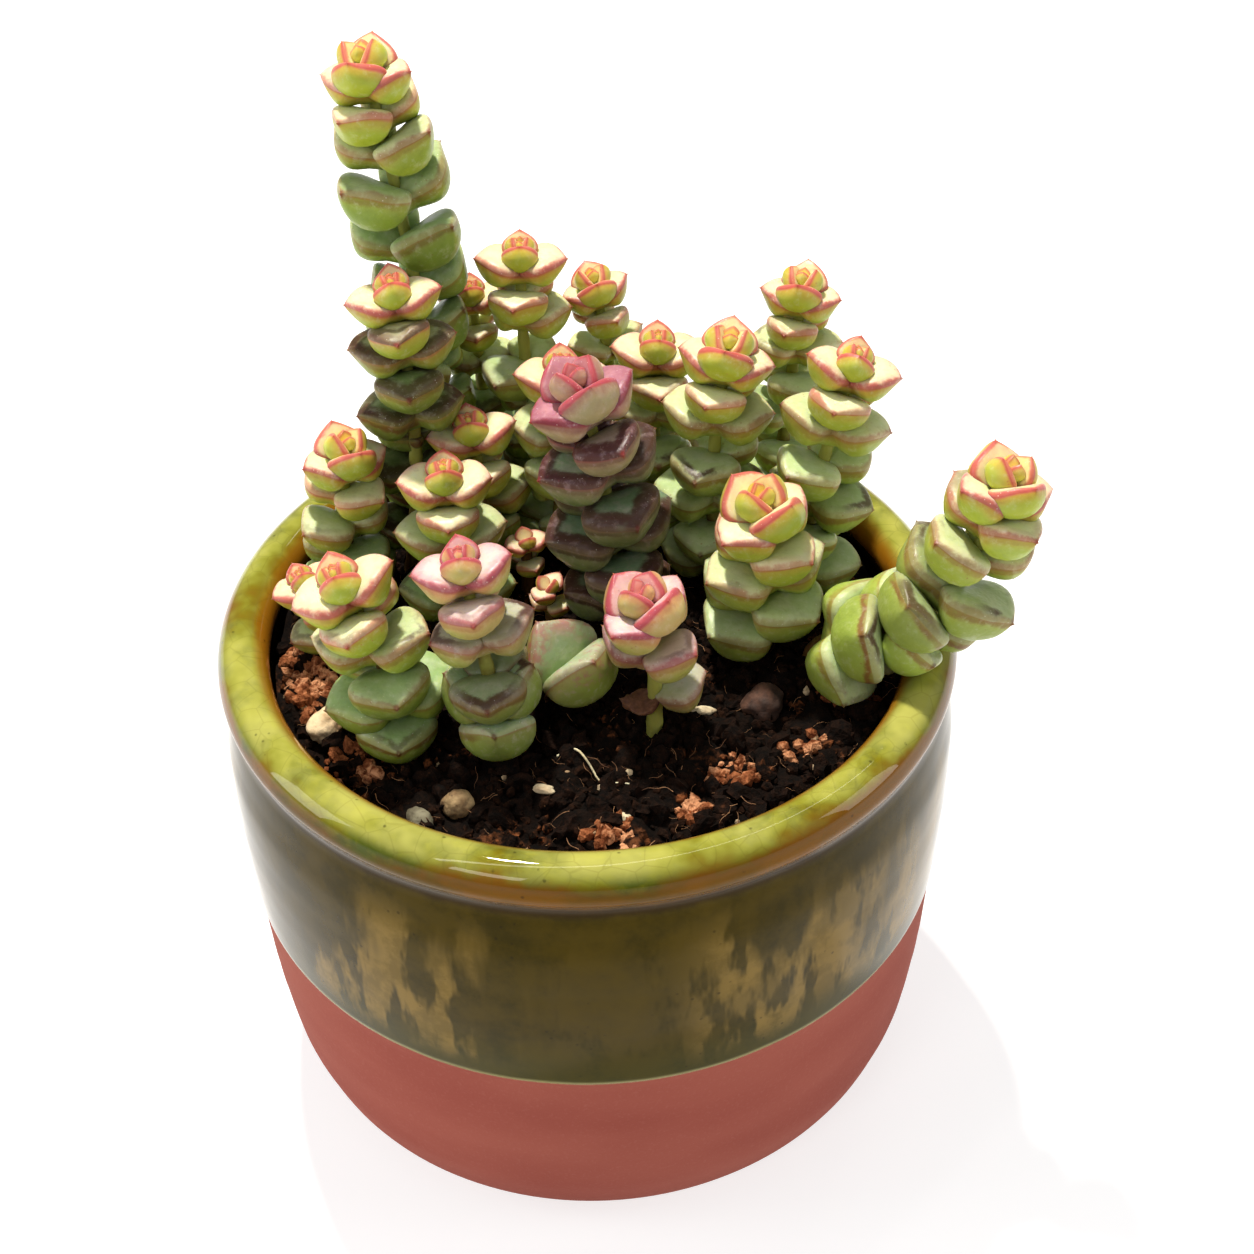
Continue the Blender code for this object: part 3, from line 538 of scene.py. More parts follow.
def depth_share(u):
    if u < DEEPEST:
        return ROOT_DEPTH + (1 - ROOT_DEPTH) * math.sin(0.5 * math.pi * u / DEEPEST)
    return (1 - ((u - DEEPEST) / (1 - DEEPEST)) ** DEPTH_FALL[0]) ** DEPTH_FALL[1]


def leaf_ring(u, size, angles, grow=0.0, plump=0.0):
    """Points round a leaf at the share u of its length: x out, y across, z up the stem.

    size is length, width, depth, tilt and arch. A plump leaf has a fuller face and a thicker margin.
    """
    length, width, depth, tilt, arch = size
    x, z, step = 0.0, 0.0, u * (length + grow) / BEND_STEPS
    for k in range(BEND_STEPS):
        slope = tilt + arch * (1 - 2 * (u * (k + 0.5) / BEND_STEPS))
        x += math.cos(slope) * step
        z += math.sin(slope) * step
    slope = tilt + arch * (1 - 2 * u)
    half = 0.5 * width * width_share(u) + grow
    low = depth * depth_share(u) + grow
    ring = []
    for degrees in angles:
        turn = math.radians(degrees)
        across, lift = math.cos(turn), math.sin(turn)
        if lift > 0.001:
            drop = -low * lift ** (KEEL[0] + KEEL[1] * u - plump)
        else:
            swell = (ROUND + plump) * low * math.sqrt(max(0.0, 1 - across ** FACE_EDGE))
            drop = swell - (DISH - 0.2 * plump) * width * lift * lift * (1 - u) + grow
        ring.append(Vector((x - drop * math.sin(slope), half * across, z + drop * math.cos(slope))))
    return ring


def leaf_tip(size, grow=0.0):
    return leaf_ring(1.0, size, (0,))[0] + Vector((grow, 0, grow))


def placed(points, axes):
    origin, out, across, up = axes
    return [origin + out * p.x + across * p.y + up * p.z for p in points]


def grown_size(number, scale, habit):
    """A leaf's length, width, depth, tilt and arch; number counts the pairs down from the head."""
    age = min(1.0, number / GROWN_AFTER)
    scale *= 1 + (habit[2] - 1) * age
    shape = [scale * (young + (old - young) * age) for young, old in zip(YOUNG_LEAF, OLD_LEAF)]
    climb = habit[0] + (habit[1] - habit[0]) * age
    arch = ARCHES[0] + (ARCHES[1] - ARCHES[0]) * age
    return (*shape, math.radians(climb), math.radians(arch))


def bud_size(scale, length, width, depth, tilt):
    return (scale * length, scale * width, scale * depth, math.radians(tilt), math.radians(HEAD_ARCH))


class Pair:
    """One pair of opposite leaves on a stem."""

    def __init__(self, route, below, turn, size, stations, order):
        self.route, self.below, self.turn = route, below, turn
        self.size, self.stations, self.order = size, stations, order
        self.sizes = [size, size]

    def half(self, side, size, twist, grow):
        """One of the leaves as a plain form, to test for room."""
        rings = [leaf_ring(u, size, LOW_ANGLES, grow) for u in (TEST_ROOT, *self.stations)]
        points = [p for ring in rings for p in ring] + [leaf_tip(size, grow)]
        return (placed(points, self.route.frame(self.below, self.turn + twist + 180 * side)),
                shell_faces(len(LOW_ANGLES), len(rings), start=False))


class Block:
    """A solid that a leaf has to stay clear of, with a ball round it for a quick test."""

    def __init__(self, points, faces, owner):
        self.owner = owner
        self.tree = BVHTree.FromPolygons([tuple(p) for p in points], faces)
        low = Vector([min(p[k] for p in points) for k in range(3)])
        high = Vector([max(p[k] for p in points) for k in range(3)])
        self.middle, self.reach = (low + high) / 2, (high - low).length / 2

    def touches(self, other):
        if (self.middle - other.middle).length > self.reach + other.reach:
            return False
        return bool(self.tree.overlap(other.tree))


def head_of(name, scale):
    if name == "front_low":
        return LOW_HEAD
    head = OPEN_HEAD if name in OPEN_HEADS else CLOSED_HEAD
    return head[:1] if scale < SMALL_SHOOT else head


def tube_points(route, past_crown, run_length=TUBE_RUN, sides=TUBE_SIDES, swell=0.0):
    """A slim round stem, a little thicker at every joint where swell is given."""
    above = route.length + past_crown - STEM_DEPTH
    runs = 1 + max(2, round(above / run_length))
    rows = []
    for k in range(runs + 1):
        run = STEM_DEPTH + above * (k - 1) / (runs - 1) if k else 0.0
        centre, tangent, side = route.at(run)
        radius = STEM_RADIUS * (1.0 - STEM_TAPER * k / runs) * (1.0 + swell * math.sin(run * JOINT_PITCH))
        rows.append((centre, side, tangent.cross(side), radius))
    return swept(rows, sides)


def clear_size(pair, side, twist, blocks, owner):
    """The largest share of its size at which a leaf has room, folding up as it shrinks."""
    length, width, depth, tilt, arch = pair.size
    for share, fold in FOLDS:
        size = (length * share, width * (LEAST_WIDTH + (1 - LEAST_WIDTH) * share),
                depth * (LEAST_DEPTH + (1 - LEAST_DEPTH) * share),
                max(tilt, min(tilt + math.radians(fold), math.radians(MAX_CLIMB))), arch)
        test = Block(*pair.half(side, size, twist, GAP), owner)
        if not any(block.owner != owner and block.touches(test) for block in blocks):
            return share, size
    return 0.0, STUB


def settle(plants, blocks):
    """Turn and shrink each pair of leaves, youngest first, so that it stays clear of other solids."""
    queue = sorted((pair.order, owner, k) for owner, pairs in plants.items() for k, pair in enumerate(pairs))
    for _, owner, k in queue:
        pair = plants[owner][k]
        best = None
        for twist in TWISTS:
            sides = [clear_size(pair, side, twist, blocks, owner) for side in (0, 1)]
            score = sum(share for share, _ in sides) - abs(twist) * TWIST_COST
            score -= sum(NO_ROOM_COST for share, _ in sides if share == 0.0)
            if best is None or score > best[0]:
                best = (score, twist, [size for _, size in sides])
        pair.turn += best[1]
        pair.sizes = best[2]
        for side in (0, 1):
            blocks.append(Block(*pair.half(side, pair.sizes[side], 0, 0.0), owner))


def node_name(name):
    return name if name.startswith("side_shoot") else "leafy_stem_" + name


def lay_plants(blocks):
    """The stems' middle lines and their pairs of leaves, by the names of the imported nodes."""
    routes, plants = {}, {}
    for name, foot, crown, bow, scale, pairs in STEMS:
        route = Route(foot, crown, bow)
        if name == "leaning":
            route.follow(LEANING_ROUTE)
        head = head_of(name, scale)
        node = node_name(name)
        routes[node] = (route, scale * head[-1][0] - TOP_SINK)
        blocks.append(Block(*tube_points(*routes[node]), node))
        habit = HABITS.get(name, USUAL_HABIT)
        stations = BUD_STATIONS if scale < SMALL_SHOOT else PAIR_STATIONS
        rows = []
        for number, (below, turn, *climb) in enumerate(pairs):
            size = grown_size(number, scale, (habit[0], climb[0], habit[2]) if climb else habit)
            rows.append(Pair(route, below, turn, size, stations, number + 1))
        for height, turn, *shape in head:
            size = bud_size(scale, *shape)
            rows.append(Pair(route, -scale * height, pairs[0][1] + turn, size, BUD_STATIONS, 0))
        plants[node] = rows
    settle(plants, blocks)
    return routes, plants


def leaf_layers(size, rings_u):
    """Distance from the margin, which side of the leaf, and distance from the tip, for points round it."""
    length, width, depth = size[:3]
    marks = np.array([(u * length, 0.5 * width * width_share(u)) for u in OUTLINE_MARKS])
    turns = np.radians(np.array(FINE_ANGLES))
    flat = np.array([(u * length, abs(0.5 * width * width_share(u) * math.cos(turn)))
                     for u in rings_u for turn in turns])
    a, b = marks[:-1], marks[1:]
    line = b - a
    share = ((flat[:, None, :] - a) * line).sum(2) / (line * line).sum(1)
    near = a + line * np.clip(share, 0, 1)[..., None]
    rim = np.sqrt(((flat[:, None, :] - near) ** 2).sum(2)).min(1)
    upper = np.tile([0.5 if angle in (0, 180) else float(angle > 180) for angle in FINE_ANGLES], len(rings_u))
    drop = np.concatenate([np.maximum(0.0, np.sin(turns)) * depth * depth_share(u) for u in rings_u])
    rim = np.where(upper < 0.5, np.sqrt(rim ** 2 + (RIM_DROP * drop) ** 2), rim)
    tip = np.sqrt((length - flat[:, 0]) ** 2 + flat[:, 1] ** 2 + (TIP_DROP * drop) ** 2)
    return rim, upper, tip


def bent(point, u, yaw, roll, seed):
    """A leaf's own slight turn, roll and unevenness, growing from nothing at the stem."""
    x, y, z = point
    ease = u * u * (3 - 2 * u)
    turn, lean = yaw * ease, roll * ease
    x, y = x * math.cos(turn) - y * math.sin(turn), x * math.sin(turn) + y * math.cos(turn)
    z += y * math.tan(lean)
    there = Vector((x * ROUGH_SCALE + seed, y * ROUGH_SCALE, z * ROUGH_SCALE))
    return Vector((x, y, z)) + noise.noise_vector(there) * ROUGH_DEPTH * ease


def fine_leaf(size, draw, maroon, dry):
    """Rows of points from the root to the tip of one leaf, with their layers, and what all of them share."""
    own = (math.radians(draw.uniform(-LEAF_YAW, LEAF_YAW)), math.radians(draw.uniform(-LEAF_ROLL, LEAF_ROLL)),
           draw.uniform(0, 90))
    shared = {"tone": draw.random(), "dark": min(1.0, maroon * draw.uniform(*MAROON_RANGE)),
              "dry": float(dry)}
    if dry:
        size = (*(part * share for part, share in zip(size, DRY_SHARES)), size[3] - DRY_DROOP, DRY_CURL)
    layers = leaf_layers(size, FINE_STATIONS)
    rows, count = [], len(FINE_ANGLES)
    for k, u in enumerate(FINE_STATIONS):
        ring = [bent(p, u, *own) for p in leaf_ring(u, size, FINE_ANGLES, 0.0, PLUMP)]
        if dry:
            ring = [p + noise.noise_vector(p * 0.9) * DRY_CRUMPLE * u for p in ring]
        rows.append((ring, *(layer[k * count:(k + 1) * count] for layer in layers)))
    rows.append(([bent(leaf_tip(size) + Vector(TIP_POINT), 1.0, *own)], [0.0], [0.5], [0.0]))
    return rows, shared


def fine_pair(pair, draw, age, bud, maroon, dry_side=None):
    """Points, faces and layers of one pair of leaves, fused round the stem."""
    points, columns = [], {layer: [] for layer in LAYERS}

    def add(ring, rim, face, tip, shared):
        points.extend(ring)
        varied = {"rim": rim, "face": face, "tip": tip}
        same = {"age": age, "bud": bud, "bark": 0.0, **shared}
        for layer, column in columns.items():
            column.extend(map(float, varied[layer]) if layer in varied else [same[layer]] * len(ring))

    (first, first_shared), (second, second_shared) = [
        fine_leaf(size, draw, maroon, dry_side == side) for side, size in enumerate(pair.sizes)]
    for row in reversed(first):
        add(*row, first_shared)
    middle = tuple(0.5 * (a + b) for a, b in zip(*pair.sizes))
    between = {layer: 0.5 * (first_shared[layer] + second_shared[layer]) for layer in ("tone", "dark")}
    between["dry"] = 0.0
    add(leaf_ring(0.0, middle, FINE_ANGLES, 0.0, PLUMP), *leaf_layers(middle, (0.0,)), between)
    for ring, *layers in second:
        add([Vector((-p.x, p.y, p.z)) for p in ring], *layers, second_shared)
    faces = shell_faces(len(FINE_ANGLES), 2 * len(FINE_STATIONS) + 1)
    return placed(points, pair.route.frame(pair.below, pair.turn)), faces, columns


def make_stem(name, route, pairs, materials, seed):
    """A stem with its leaves, as one mesh; the leaves know their age, margin and tip."""
    draw = random.Random(seed)
    points, faces = tube_points(*route, FINE_RUN, FINE_SIDES, JOINT_SWELL)
    columns = {layer: [0.0] * len(points) for layer in LAYERS}
    columns["bark"] = [1.0] * len(points)
    columns["rim"] = [FAR_FROM_EDGE] * len(points)
    columns["tip"] = [FAR_FROM_EDGE] * len(points)
    browned = STALK_BROWNING.get(name, USUAL_BROWNING)
    columns["age"] = [STALK_AGE + browned * (1 - (p.z - SOIL_LEVEL) / BROWN_RUN) for p in points]
    aged = AGED.get(name, 0.0)
    outer = [pair for pair in pairs if pair.order > 0]
    inner = [pair for pair in pairs if pair.order == 0]
    rows = [(pair, min(1.0, aged + (pair.order - 1) / OLD_ORDER), 0.0) for pair in outer]
    for number, pair in enumerate(inner):
        rows.append((pair, aged, (BUD_START + BUD_STEP * number) * (1.0 - aged)))
    if len(inner) > 1:
        opened, last = name in OPEN_HEADS, inner[-1]
        height, *shape = HEART[opened]
        scale = -last.below / (OPEN_HEAD if opened else CLOSED_HEAD)[-1][0]
        heart = Pair(route[0], last.below - scale * height, last.turn + HEART_TURN, bud_size(scale, *shape),
                     BUD_STATIONS, 0)
        rows.append((heart, 0.0, 1.0))
    for pair, age, bud in rows:
        dry = 1 if (name, pair.order) == DRY_LEAF else None
        more, more_faces, more_columns = fine_pair(pair, draw, age, bud, MAROON.get(name, USUAL_MAROON), dry)
        faces += [tuple(len(points) + k for k in face) for face in more_faces]
        points += more
        for layer in LAYERS:
            columns[layer] += more_columns[layer]
    kind = FINISHES.get(name, "leaf")
    node = node_name(name)
    label = node.replace("leafy_stem", "stem") + "_leaves"
    piece(mesh_object(label, points, faces, materials[kind], columns), node)


def leaf_paint(name, colours, turned_at=0.75, banding=0.0, blotches=0.0):
    """Waxy leaf skin: pale face, green back and a reddened margin, with maroon strokes on some leaves.

    rim and tip are distances in millimetres, and the other values run from 0 to 1. turned_at is the age
    at which a leaf has its old colours, banding the strength of a broad maroon band on the faces of all
    but the youngest leaves, and blotches that of rosy patches near the margin.
    """
    paint = Paint(name, colours)
    mix, ease, layered = paint.mix, paint.ease, paint.layered
    rim, face, tip, age, tone, bud, bark, dry, dark = (paint.given(layer) for layer in LAYERS)
    soft = paint.cloud(260.0, 4.0)
    broad = paint.cloud(90.0, 2.0)
    fine = paint.cloud(1500.0, 3.0)
    rough = paint.cloud(650.0, 4.0, 0.65)
    ragged = rim + (soft - 0.5) * 1.3 + (rough - 0.5) * 0.9
    above = ease(face, 0.35, 0.65)
    young = 1 - age
    grown = ease(age, 0.0, turned_at)
    patchy = ease(broad + 0.4 * (tone - 0.5) + 0.25 * dark, 0.42, 0.62)
    blush = mix(ease(age + (tone - 0.5) * 0.4, 0.1, 0.7), "young_margin", "old_margin")

    streak = ease(paint.size_of(ragged - 0.5), 0.65, 0.1) * patchy * (0.2 + 0.8 * age)
    # Painted light on the back: a paler band and an orange glow near the margin stand for light shining
    # through the thin edge.
    back = layered(
        mix(grown, "young_back", "old_back"),
        (ease(broad, 0.38, 0.68) * 0.5, "lime"),
        (ease(rim, 3.4, 0.4) * (0.4 - 0.25 * age), "pale_edge_light"),
        (ease(ragged, 2.0, 0.1) * (0.05 + 0.55 * young * young), "orange_edge_glow"),
        (streak * (0.35 + 0.6 * dark), "streak"),
        (ease(rim + (soft - 0.5) * 0.4, 0.42, 0.0) * (0.5 + 0.35 * young), blush))

    top = layered(
        mix(grown, "young_face", "old_face"),
        (ease(tip, 4.0, 9.0) * 0.5 * young, "lime"),
        (ease(soft, 0.42, 0.7) * 0.22, "pale_face"),
        (ease(ragged, 1.5 + 1.2 * young, 0.0) * (0.04 + 0.58 * young * young * young + 0.06 * dark), "flush"),
        (ease(ragged, 0.6, 0.0) * (0.25 * patchy + 0.6 * young), blush))
    if banding:
        broad_band = ease(ragged + (soft - 0.5) * 1.2, 3.1, 2.0) * ease(age, 0.04, 0.18)
        top = mix(broad_band * ease(broad + 0.35 * tone, 0.38, 0.5) * banding, top, "band")
    off_band = paint.size_of(ragged - 0.65 - 0.4 * tone)
    band = ease(off_band + (fine - 0.5) * 0.6, 0.45 + 0.8 * dark, 0.4 * dark)
    band = band * ease(age, 0.05, 0.35) * ease(tip, 6.0 + 4.0 * dark, 2.5)
    band = band * ease(broad + (soft - 0.5) * 0.7 + 0.25 * dark, 0.52, 0.66)
    top = mix(band * ease(dark, 0.25, 0.65) * 0.92, top, "band")

    skin = layered(
        mix(above, back, top),
        # Painted highlight: a thin pale line along the margin of older leaves.
        (ease(rim, 0.3, 0.0) * 0.22 * age, "pale_edge_light"),
        (ease(rough, 0.5, 0.72) * 0.2, "pale_face"),
        (ease(rough, 0.5, 0.3) * 0.15 * (1 - 0.7 * bud), "deep"))
    if blotches:
        blotch = ease(broad + (rough - 0.5) * 0.8, 0.46, 0.66) * ease(rim, 4.0, 0.6)
        skin = mix(blotch * blotches, skin, "young_margin")
    bud_edge = ease(bud, 0.1, 0.5) * ease(rim + (soft - 0.5) * 0.6, 0.55, 0.05)
    speckle = ease(paint.cells(900.0), 0.2, 0.05) * ease(paint.cloud(130.0, 2.0), 0.5, 0.62)
    # Whitish specks on the faces: partly the leaf's waxy bloom, partly painted glints of light.
    bloom_and_glints = ease(paint.cells(1500.0), 0.2, 0.05) * ease(fine, 0.48, 0.58) * ease(rim, 3.0, 0.3)
    skin = layered(
        skin,
        (bud * bud * (0.2 + 0.65 * above), "glow"),
        (bud_edge * 0.75, "bud_margin"),
        (speckle * 0.45 * ease(rim, 4.5, 1.0), blush),
        (bloom_and_glints * 0.6 * above, "bloom_and_glints"),
        (ease(tip + (fine - 0.5) * 0.5, 0.8, 0.2) * 0.7 * (1 - bud), mix(age, "young_tip", "tip")),
        (bark, mix(ease(age + (soft - 0.5), 0.45, 0.95), "stalk", "old_stalk")),
        (dry, mix(fine, "dry_dark", "dry_light")),
        ((tone - 0.5) * 0.3 * age + 0.06, NEAR_BLACK),
        (ease(dark, 0.6, 1.0) * ease(age, 0.1, 0.5) * 0.35, "shade"))

    relief = fine * 0.35 + paint.cloud(420.0, 2.0) * 0.9 + paint.cells(1500.0) * 0.12
    paint.set(Base_Color=skin, Roughness=0.28 + 0.18 * soft + 0.35 * dry + 0.25 * bark,
              Normal=paint.relief(relief, 0.0003, 0.5))
    paint.set(Subsurface_Weight=0.35, Subsurface_Radius=(1.0, 0.9, 0.2), Subsurface_Scale=0.002,
              Coat_Weight=0.04, Coat_Roughness=0.22, Specular_IOR_Level=0.2)
    return paint.material


NEAR_BLACK = (0.02, 0.03, 0.01, 1.0)
LEAF_COLOURS = {
    "young_back": (172, 182, 40), "old_back": (120, 144, 54), "lime": (148, 174, 52),
    "pale_edge_light": (186, 196, 104), "young_face": (234, 238, 182), "old_face": (150, 178, 114),
    "pale_face": (232, 230, 196), "flush": (224, 156, 148), "glow": (246, 220, 122),
    "deep": (74, 100, 30), "young_margin": (186, 80, 78), "old_margin": (142, 58, 50),
    "band": (74, 28, 34), "bud_margin": (194, 80, 84), "bloom_and_glints": (248, 240, 226),
    "young_tip": (150, 44, 44), "tip": (84, 24, 24), "stalk": (166, 166, 80),
    "old_stalk": (104, 72, 34), "orange_edge_glow": (216, 158, 66), "streak": (114, 46, 32),
    "shade": (64, 62, 34), "dry_dark": (58, 30, 20), "dry_light": (150, 104, 80),
}
# Lighter and darker copies of the leaf colours: painted light and painted shade.
LIT_PALE_COLOURS = dict(LEAF_COLOURS, old_back=(152, 170, 74), old_face=(178, 198, 138), lime=(170, 192, 76),
                    deep=(98, 122, 44), streak=(132, 54, 40), shade=(96, 96, 52))
SHADED_DARK_COLOURS = dict(LEAF_COLOURS, old_back=(102, 122, 48), old_face=(120, 144, 86), band=(74, 40, 30),
                    shade=(54, 52, 28))
PINK_COLOURS = dict(LEAF_COLOURS, young_back=(196, 168, 100), old_back=(124, 142, 66),
                    young_face=(228, 206, 198), old_face=(146, 172, 124), glow=(228, 156, 146),
                    pale_face=(232, 212, 204), flush=(194, 114, 128), young_margin=(164, 60, 78),
                    old_margin=(134, 58, 62), bud_margin=(178, 68, 82), pale_edge_light=(210, 198, 140),
                    deep=(120, 104, 62), orange_edge_glow=(216, 130, 92))
PURPLE_COLOURS = dict(LEAF_COLOURS, young_back=(178, 150, 112), old_back=(104, 118, 66),
                      young_face=(182, 122, 134), old_face=(126, 156, 118), pale_face=(222, 190, 192),
                      glow=(214, 144, 144), flush=(146, 78, 96), young_margin=(140, 48, 62),
                      old_margin=(112, 48, 52), band=(76, 32, 38), bud_margin=(180, 72, 84),
                      lime=(132, 150, 92), pale_edge_light=(190, 172, 138), deep=(84, 54, 42),
                      orange_edge_glow=(160, 84, 90), streak=(64, 28, 26))
POT_COLOURS = {
    "light_olive": (66, 52, 2), "dark_olive": (46, 37, 0), "green_olive": (58, 62, 16), "tan": (140, 112, 52),
    "light_amber": (118, 74, 6), "dark_amber": (88, 62, 4), "light_green": (116, 120, 16),
    "dark_green": (66, 80, 8), "crest_highlight": (206, 200, 104), "inside": (150, 96, 20), "crease_shade": (40, 22, 2),
    "crack": (84, 74, 16), "speck": (30, 22, 6), "lip": (178, 168, 110), "clay": (146, 74, 64),
    "pink_clay": (156, 84, 72), "clay_grain": (178, 112, 98), "clay_foot": (106, 58, 48),
}


def pot_paint():
    """Glossy olive glaze over the upper half, with tan patches that are painted reflections, a painted
    highlight along the top of the rim bead, painted shade in the crease under it and a few fine cracks, and
    bare pink clay below. Heights and distances are in millimetres."""
    paint = Paint("glazed_clay", POT_COLOURS)
    mix, ease, cloud = paint.mix, paint.ease, paint.cloud
    height, beside = paint.along("Z"), paint.size_of(paint.along("X"))
    flat = paint.node("ShaderNodeVectorMath", {"operation": "MULTIPLY"}, {0: paint.place, 1: (1.0, 1.0, 0.0)})
    off_axis = paint.node("ShaderNodeVectorMath", {"operation": "LENGTH"}, {0: flat}, "Value") / MM
    wavy_height = height + (cloud(30.0, 3.0) - 0.5) * 1.6
    glazed = ease(wavy_height, GLAZE_LINE - 0.25, GLAZE_LINE + 0.25)
    runs = cloud(60.0, 4.0, 0.6, stretch=(1.0, 1.0, 0.18))
    mottle = cloud(160.0, 5.0, 0.62)
    reflection_patches = cloud(26.0, 2.0, 0.5, stretch=(1.0, 1.0, 0.7))
    reflection_breaks = cloud(190.0, 3.0, 0.6, stretch=(1.0, 1.0, 0.3))
    along_rim = cloud(42.0, 4.0, 0.6, stretch=(1.0, 1.0, 2.0))
    streaks = cloud(50.0, 3.0, 0.5, stretch=(0.5, 0.5, 1.6))
    grain = cloud(1600.0, 4.0, 0.65)

    mottled_height = height + (mottle - 0.5) * 8.0
    # Painted reflection: tan patches in the glaze colour, fewer in the front middle.
    tan = ease(reflection_patches + (runs - 0.5) * 0.7, 0.42, 0.52) * ease(reflection_breaks, 0.4, 0.52)
    tan = tan * ease(mottled_height, 82.0, 72.0) * (0.12 + 0.88 * ease(beside, 9.0, 22.0))
    tan = tan * ease(mottled_height, GLAZE_LINE + 1.0, GLAZE_LINE + 9.0)
    thin = ease(height + (runs - 0.5) * 3.0, 82.6, 85.2)
    amber = mix(ease(along_rim, 0.4, 0.62), "light_amber", "dark_amber")
    green = mix(ease(mottle + (along_rim - 0.5), 0.4, 0.62), "light_green", "dark_green")
    # Painted highlight: a lighter band along the top of the rim bead, broken along the rim.
    crest_highlight = ease(height + (mottle - 0.5) * 2.0, 88.8, 91.4) * ease(along_rim, 0.35, 0.6)
    inside = ease(off_axis, 54.6, 52.6) * ease(height, 84.0, 89.0)
    # Painted shade: a dark line in the crease under the rim bead.
    crease_shade = ease(paint.size_of(height - 83.2 + (mottle - 0.5) * 1.2), 1.6, 0.3)
    crack = ease(paint.cells(230.0, "DISTANCE_TO_EDGE"), 0.035, 0.008)
    specks = ease(paint.cells(420.0), 0.16, 0.06) * ease(mottle, 0.5, 0.56)
    glaze = paint.layered(
        mix(ease(mottle, 0.35, 0.7), "light_olive", "dark_olive"),
        (ease(height, GLAZE_LINE + 14.0, GLAZE_LINE) * 0.4, "green_olive"),
        (tan * (0.4 + 0.35 * ease(mottle, 0.4, 0.6)), "tan"),
        (thin * 0.92, mix(ease(height + (along_rim - 0.5) * 13.0, 87.9, 91.0), amber, green)),
        (crest_highlight * 0.6, "crest_highlight"),
        (inside * 0.75, "inside"),
        (crease_shade * 0.85, "crease_shade"),
        (crack * 0.16 * thin, "crack"),
        (specks * 0.55, "speck"),
        (ease(wavy_height, GLAZE_LINE + 1.1, GLAZE_LINE + 0.1) * 0.6, "lip"))
    clay = paint.layered(
        mix(ease(streaks, 0.3, 0.72), "clay", "pink_clay"),
        (ease(grain, 0.5, 0.75) * 0.2, "clay_grain"),
        (ease(height, 12.0, 0.0) * 0.4, "clay_foot"))
    swell = 0.45 + 0.3 * cloud(38.0, 2.0) + 0.04 * mottle
    relief = glazed * swell + (1 - glazed) * (0.03 * streaks + 0.1 * grain)
    paint.set(Base_Color=mix(glazed, clay, glaze), Roughness=0.82 - glazed * 0.79,
              Coat_Weight=glazed * 0.55 * ease(height, 87.0, 89.6), Normal=paint.relief(relief, 0.0011, 0.55))
    paint.set(Coat_Roughness=0.02, Coat_IOR=1.5, Specular_IOR_Level=0.14, Specular_Tint=(0.8, 0.62, 0.2, 1.0))
    return paint.material


def soil_paint(name, dark, mid, bright, share):
    """Peat in three colours; share widens the patches of the brightest."""
    paint = Paint(name, {"dark": dark, "mid": mid, "bright": bright})
    broad = paint.cloud(110.0, 4.0)
    fine = paint.cloud(700.0, 5.0, 0.65)
    skin = paint.mix(paint.ease(fine, 0.35, 0.7), "dark", "mid")
    skin = paint.mix(paint.ease(broad + (fine - 0.5) * 0.6, 0.62 - share, 0.8 - share), skin, "bright")
    relief = fine + paint.cloud(2400.0, 3.0) * 0.4
    paint.set(Base_Color=skin, Roughness=0.82 + 0.15 * fine, Normal=paint.relief(relief, 0.0009, 0.8),
              Specular_IOR_Level=0.1)
    return paint.material


def stone_paint(name, light, dark):
    """Two colours with pits and soiled patches, for stones, chips, fibres and the root thread."""
    paint = Paint(name, {"light": light, "dark": dark, "pit": (64, 44, 30), "soil": (58, 36, 22)})
    broad, fine = paint.cloud(260.0, 4.0), paint.cloud(1500.0, 4.0, 0.65)
    pits = paint.ease(paint.cells(900.0), 0.3, 0.08) * paint.ease(fine, 0.45, 0.6)
    skin = paint.layered(
        paint.mix(paint.ease(broad, 0.35, 0.68), "light", "dark"),
        (pits * 0.7, "pit"),
        (paint.ease(paint.cloud(420.0, 3.0), 0.55, 0.7) * 0.5, "soil"))
    paint.set(Base_Color=skin, Roughness=0.7 + 0.2 * fine,
              Normal=paint.relief(broad + fine * 0.5, 0.0006, 0.8))
    return paint.material


def eased_line(marks, pieces, rounds):
    """A line through the marks, cut into short pieces and rounded."""
    line = []
    for (x0, z0), (x1, z1) in zip(marks, marks[1:]):
        line += [(x0 + (x1 - x0) * k / pieces, z0 + (z1 - z0) * k / pieces) for k in range(pieces)]
    line.append(marks[-1])
    for _ in range(rounds):
        line = [line[0]] + [tuple(0.25 * a + 0.5 * b + 0.25 * c for a, b, c in zip(p, q, r))
                            for p, q, r in zip(line, line[1:], line[2:])] + [line[-1]]
    return line


def hand_thrown(turn, height):
    """Slight unevenness of a pot thrown by hand."""
    ripple = 0.03 * math.sin(height * 1.05 + 0.9 * math.sin(turn))
    sway = 0.12 * math.sin(2 * turn + 0.03 * height) + 0.06 * math.sin(3 * turn + 1.1)
    return ripple + sway


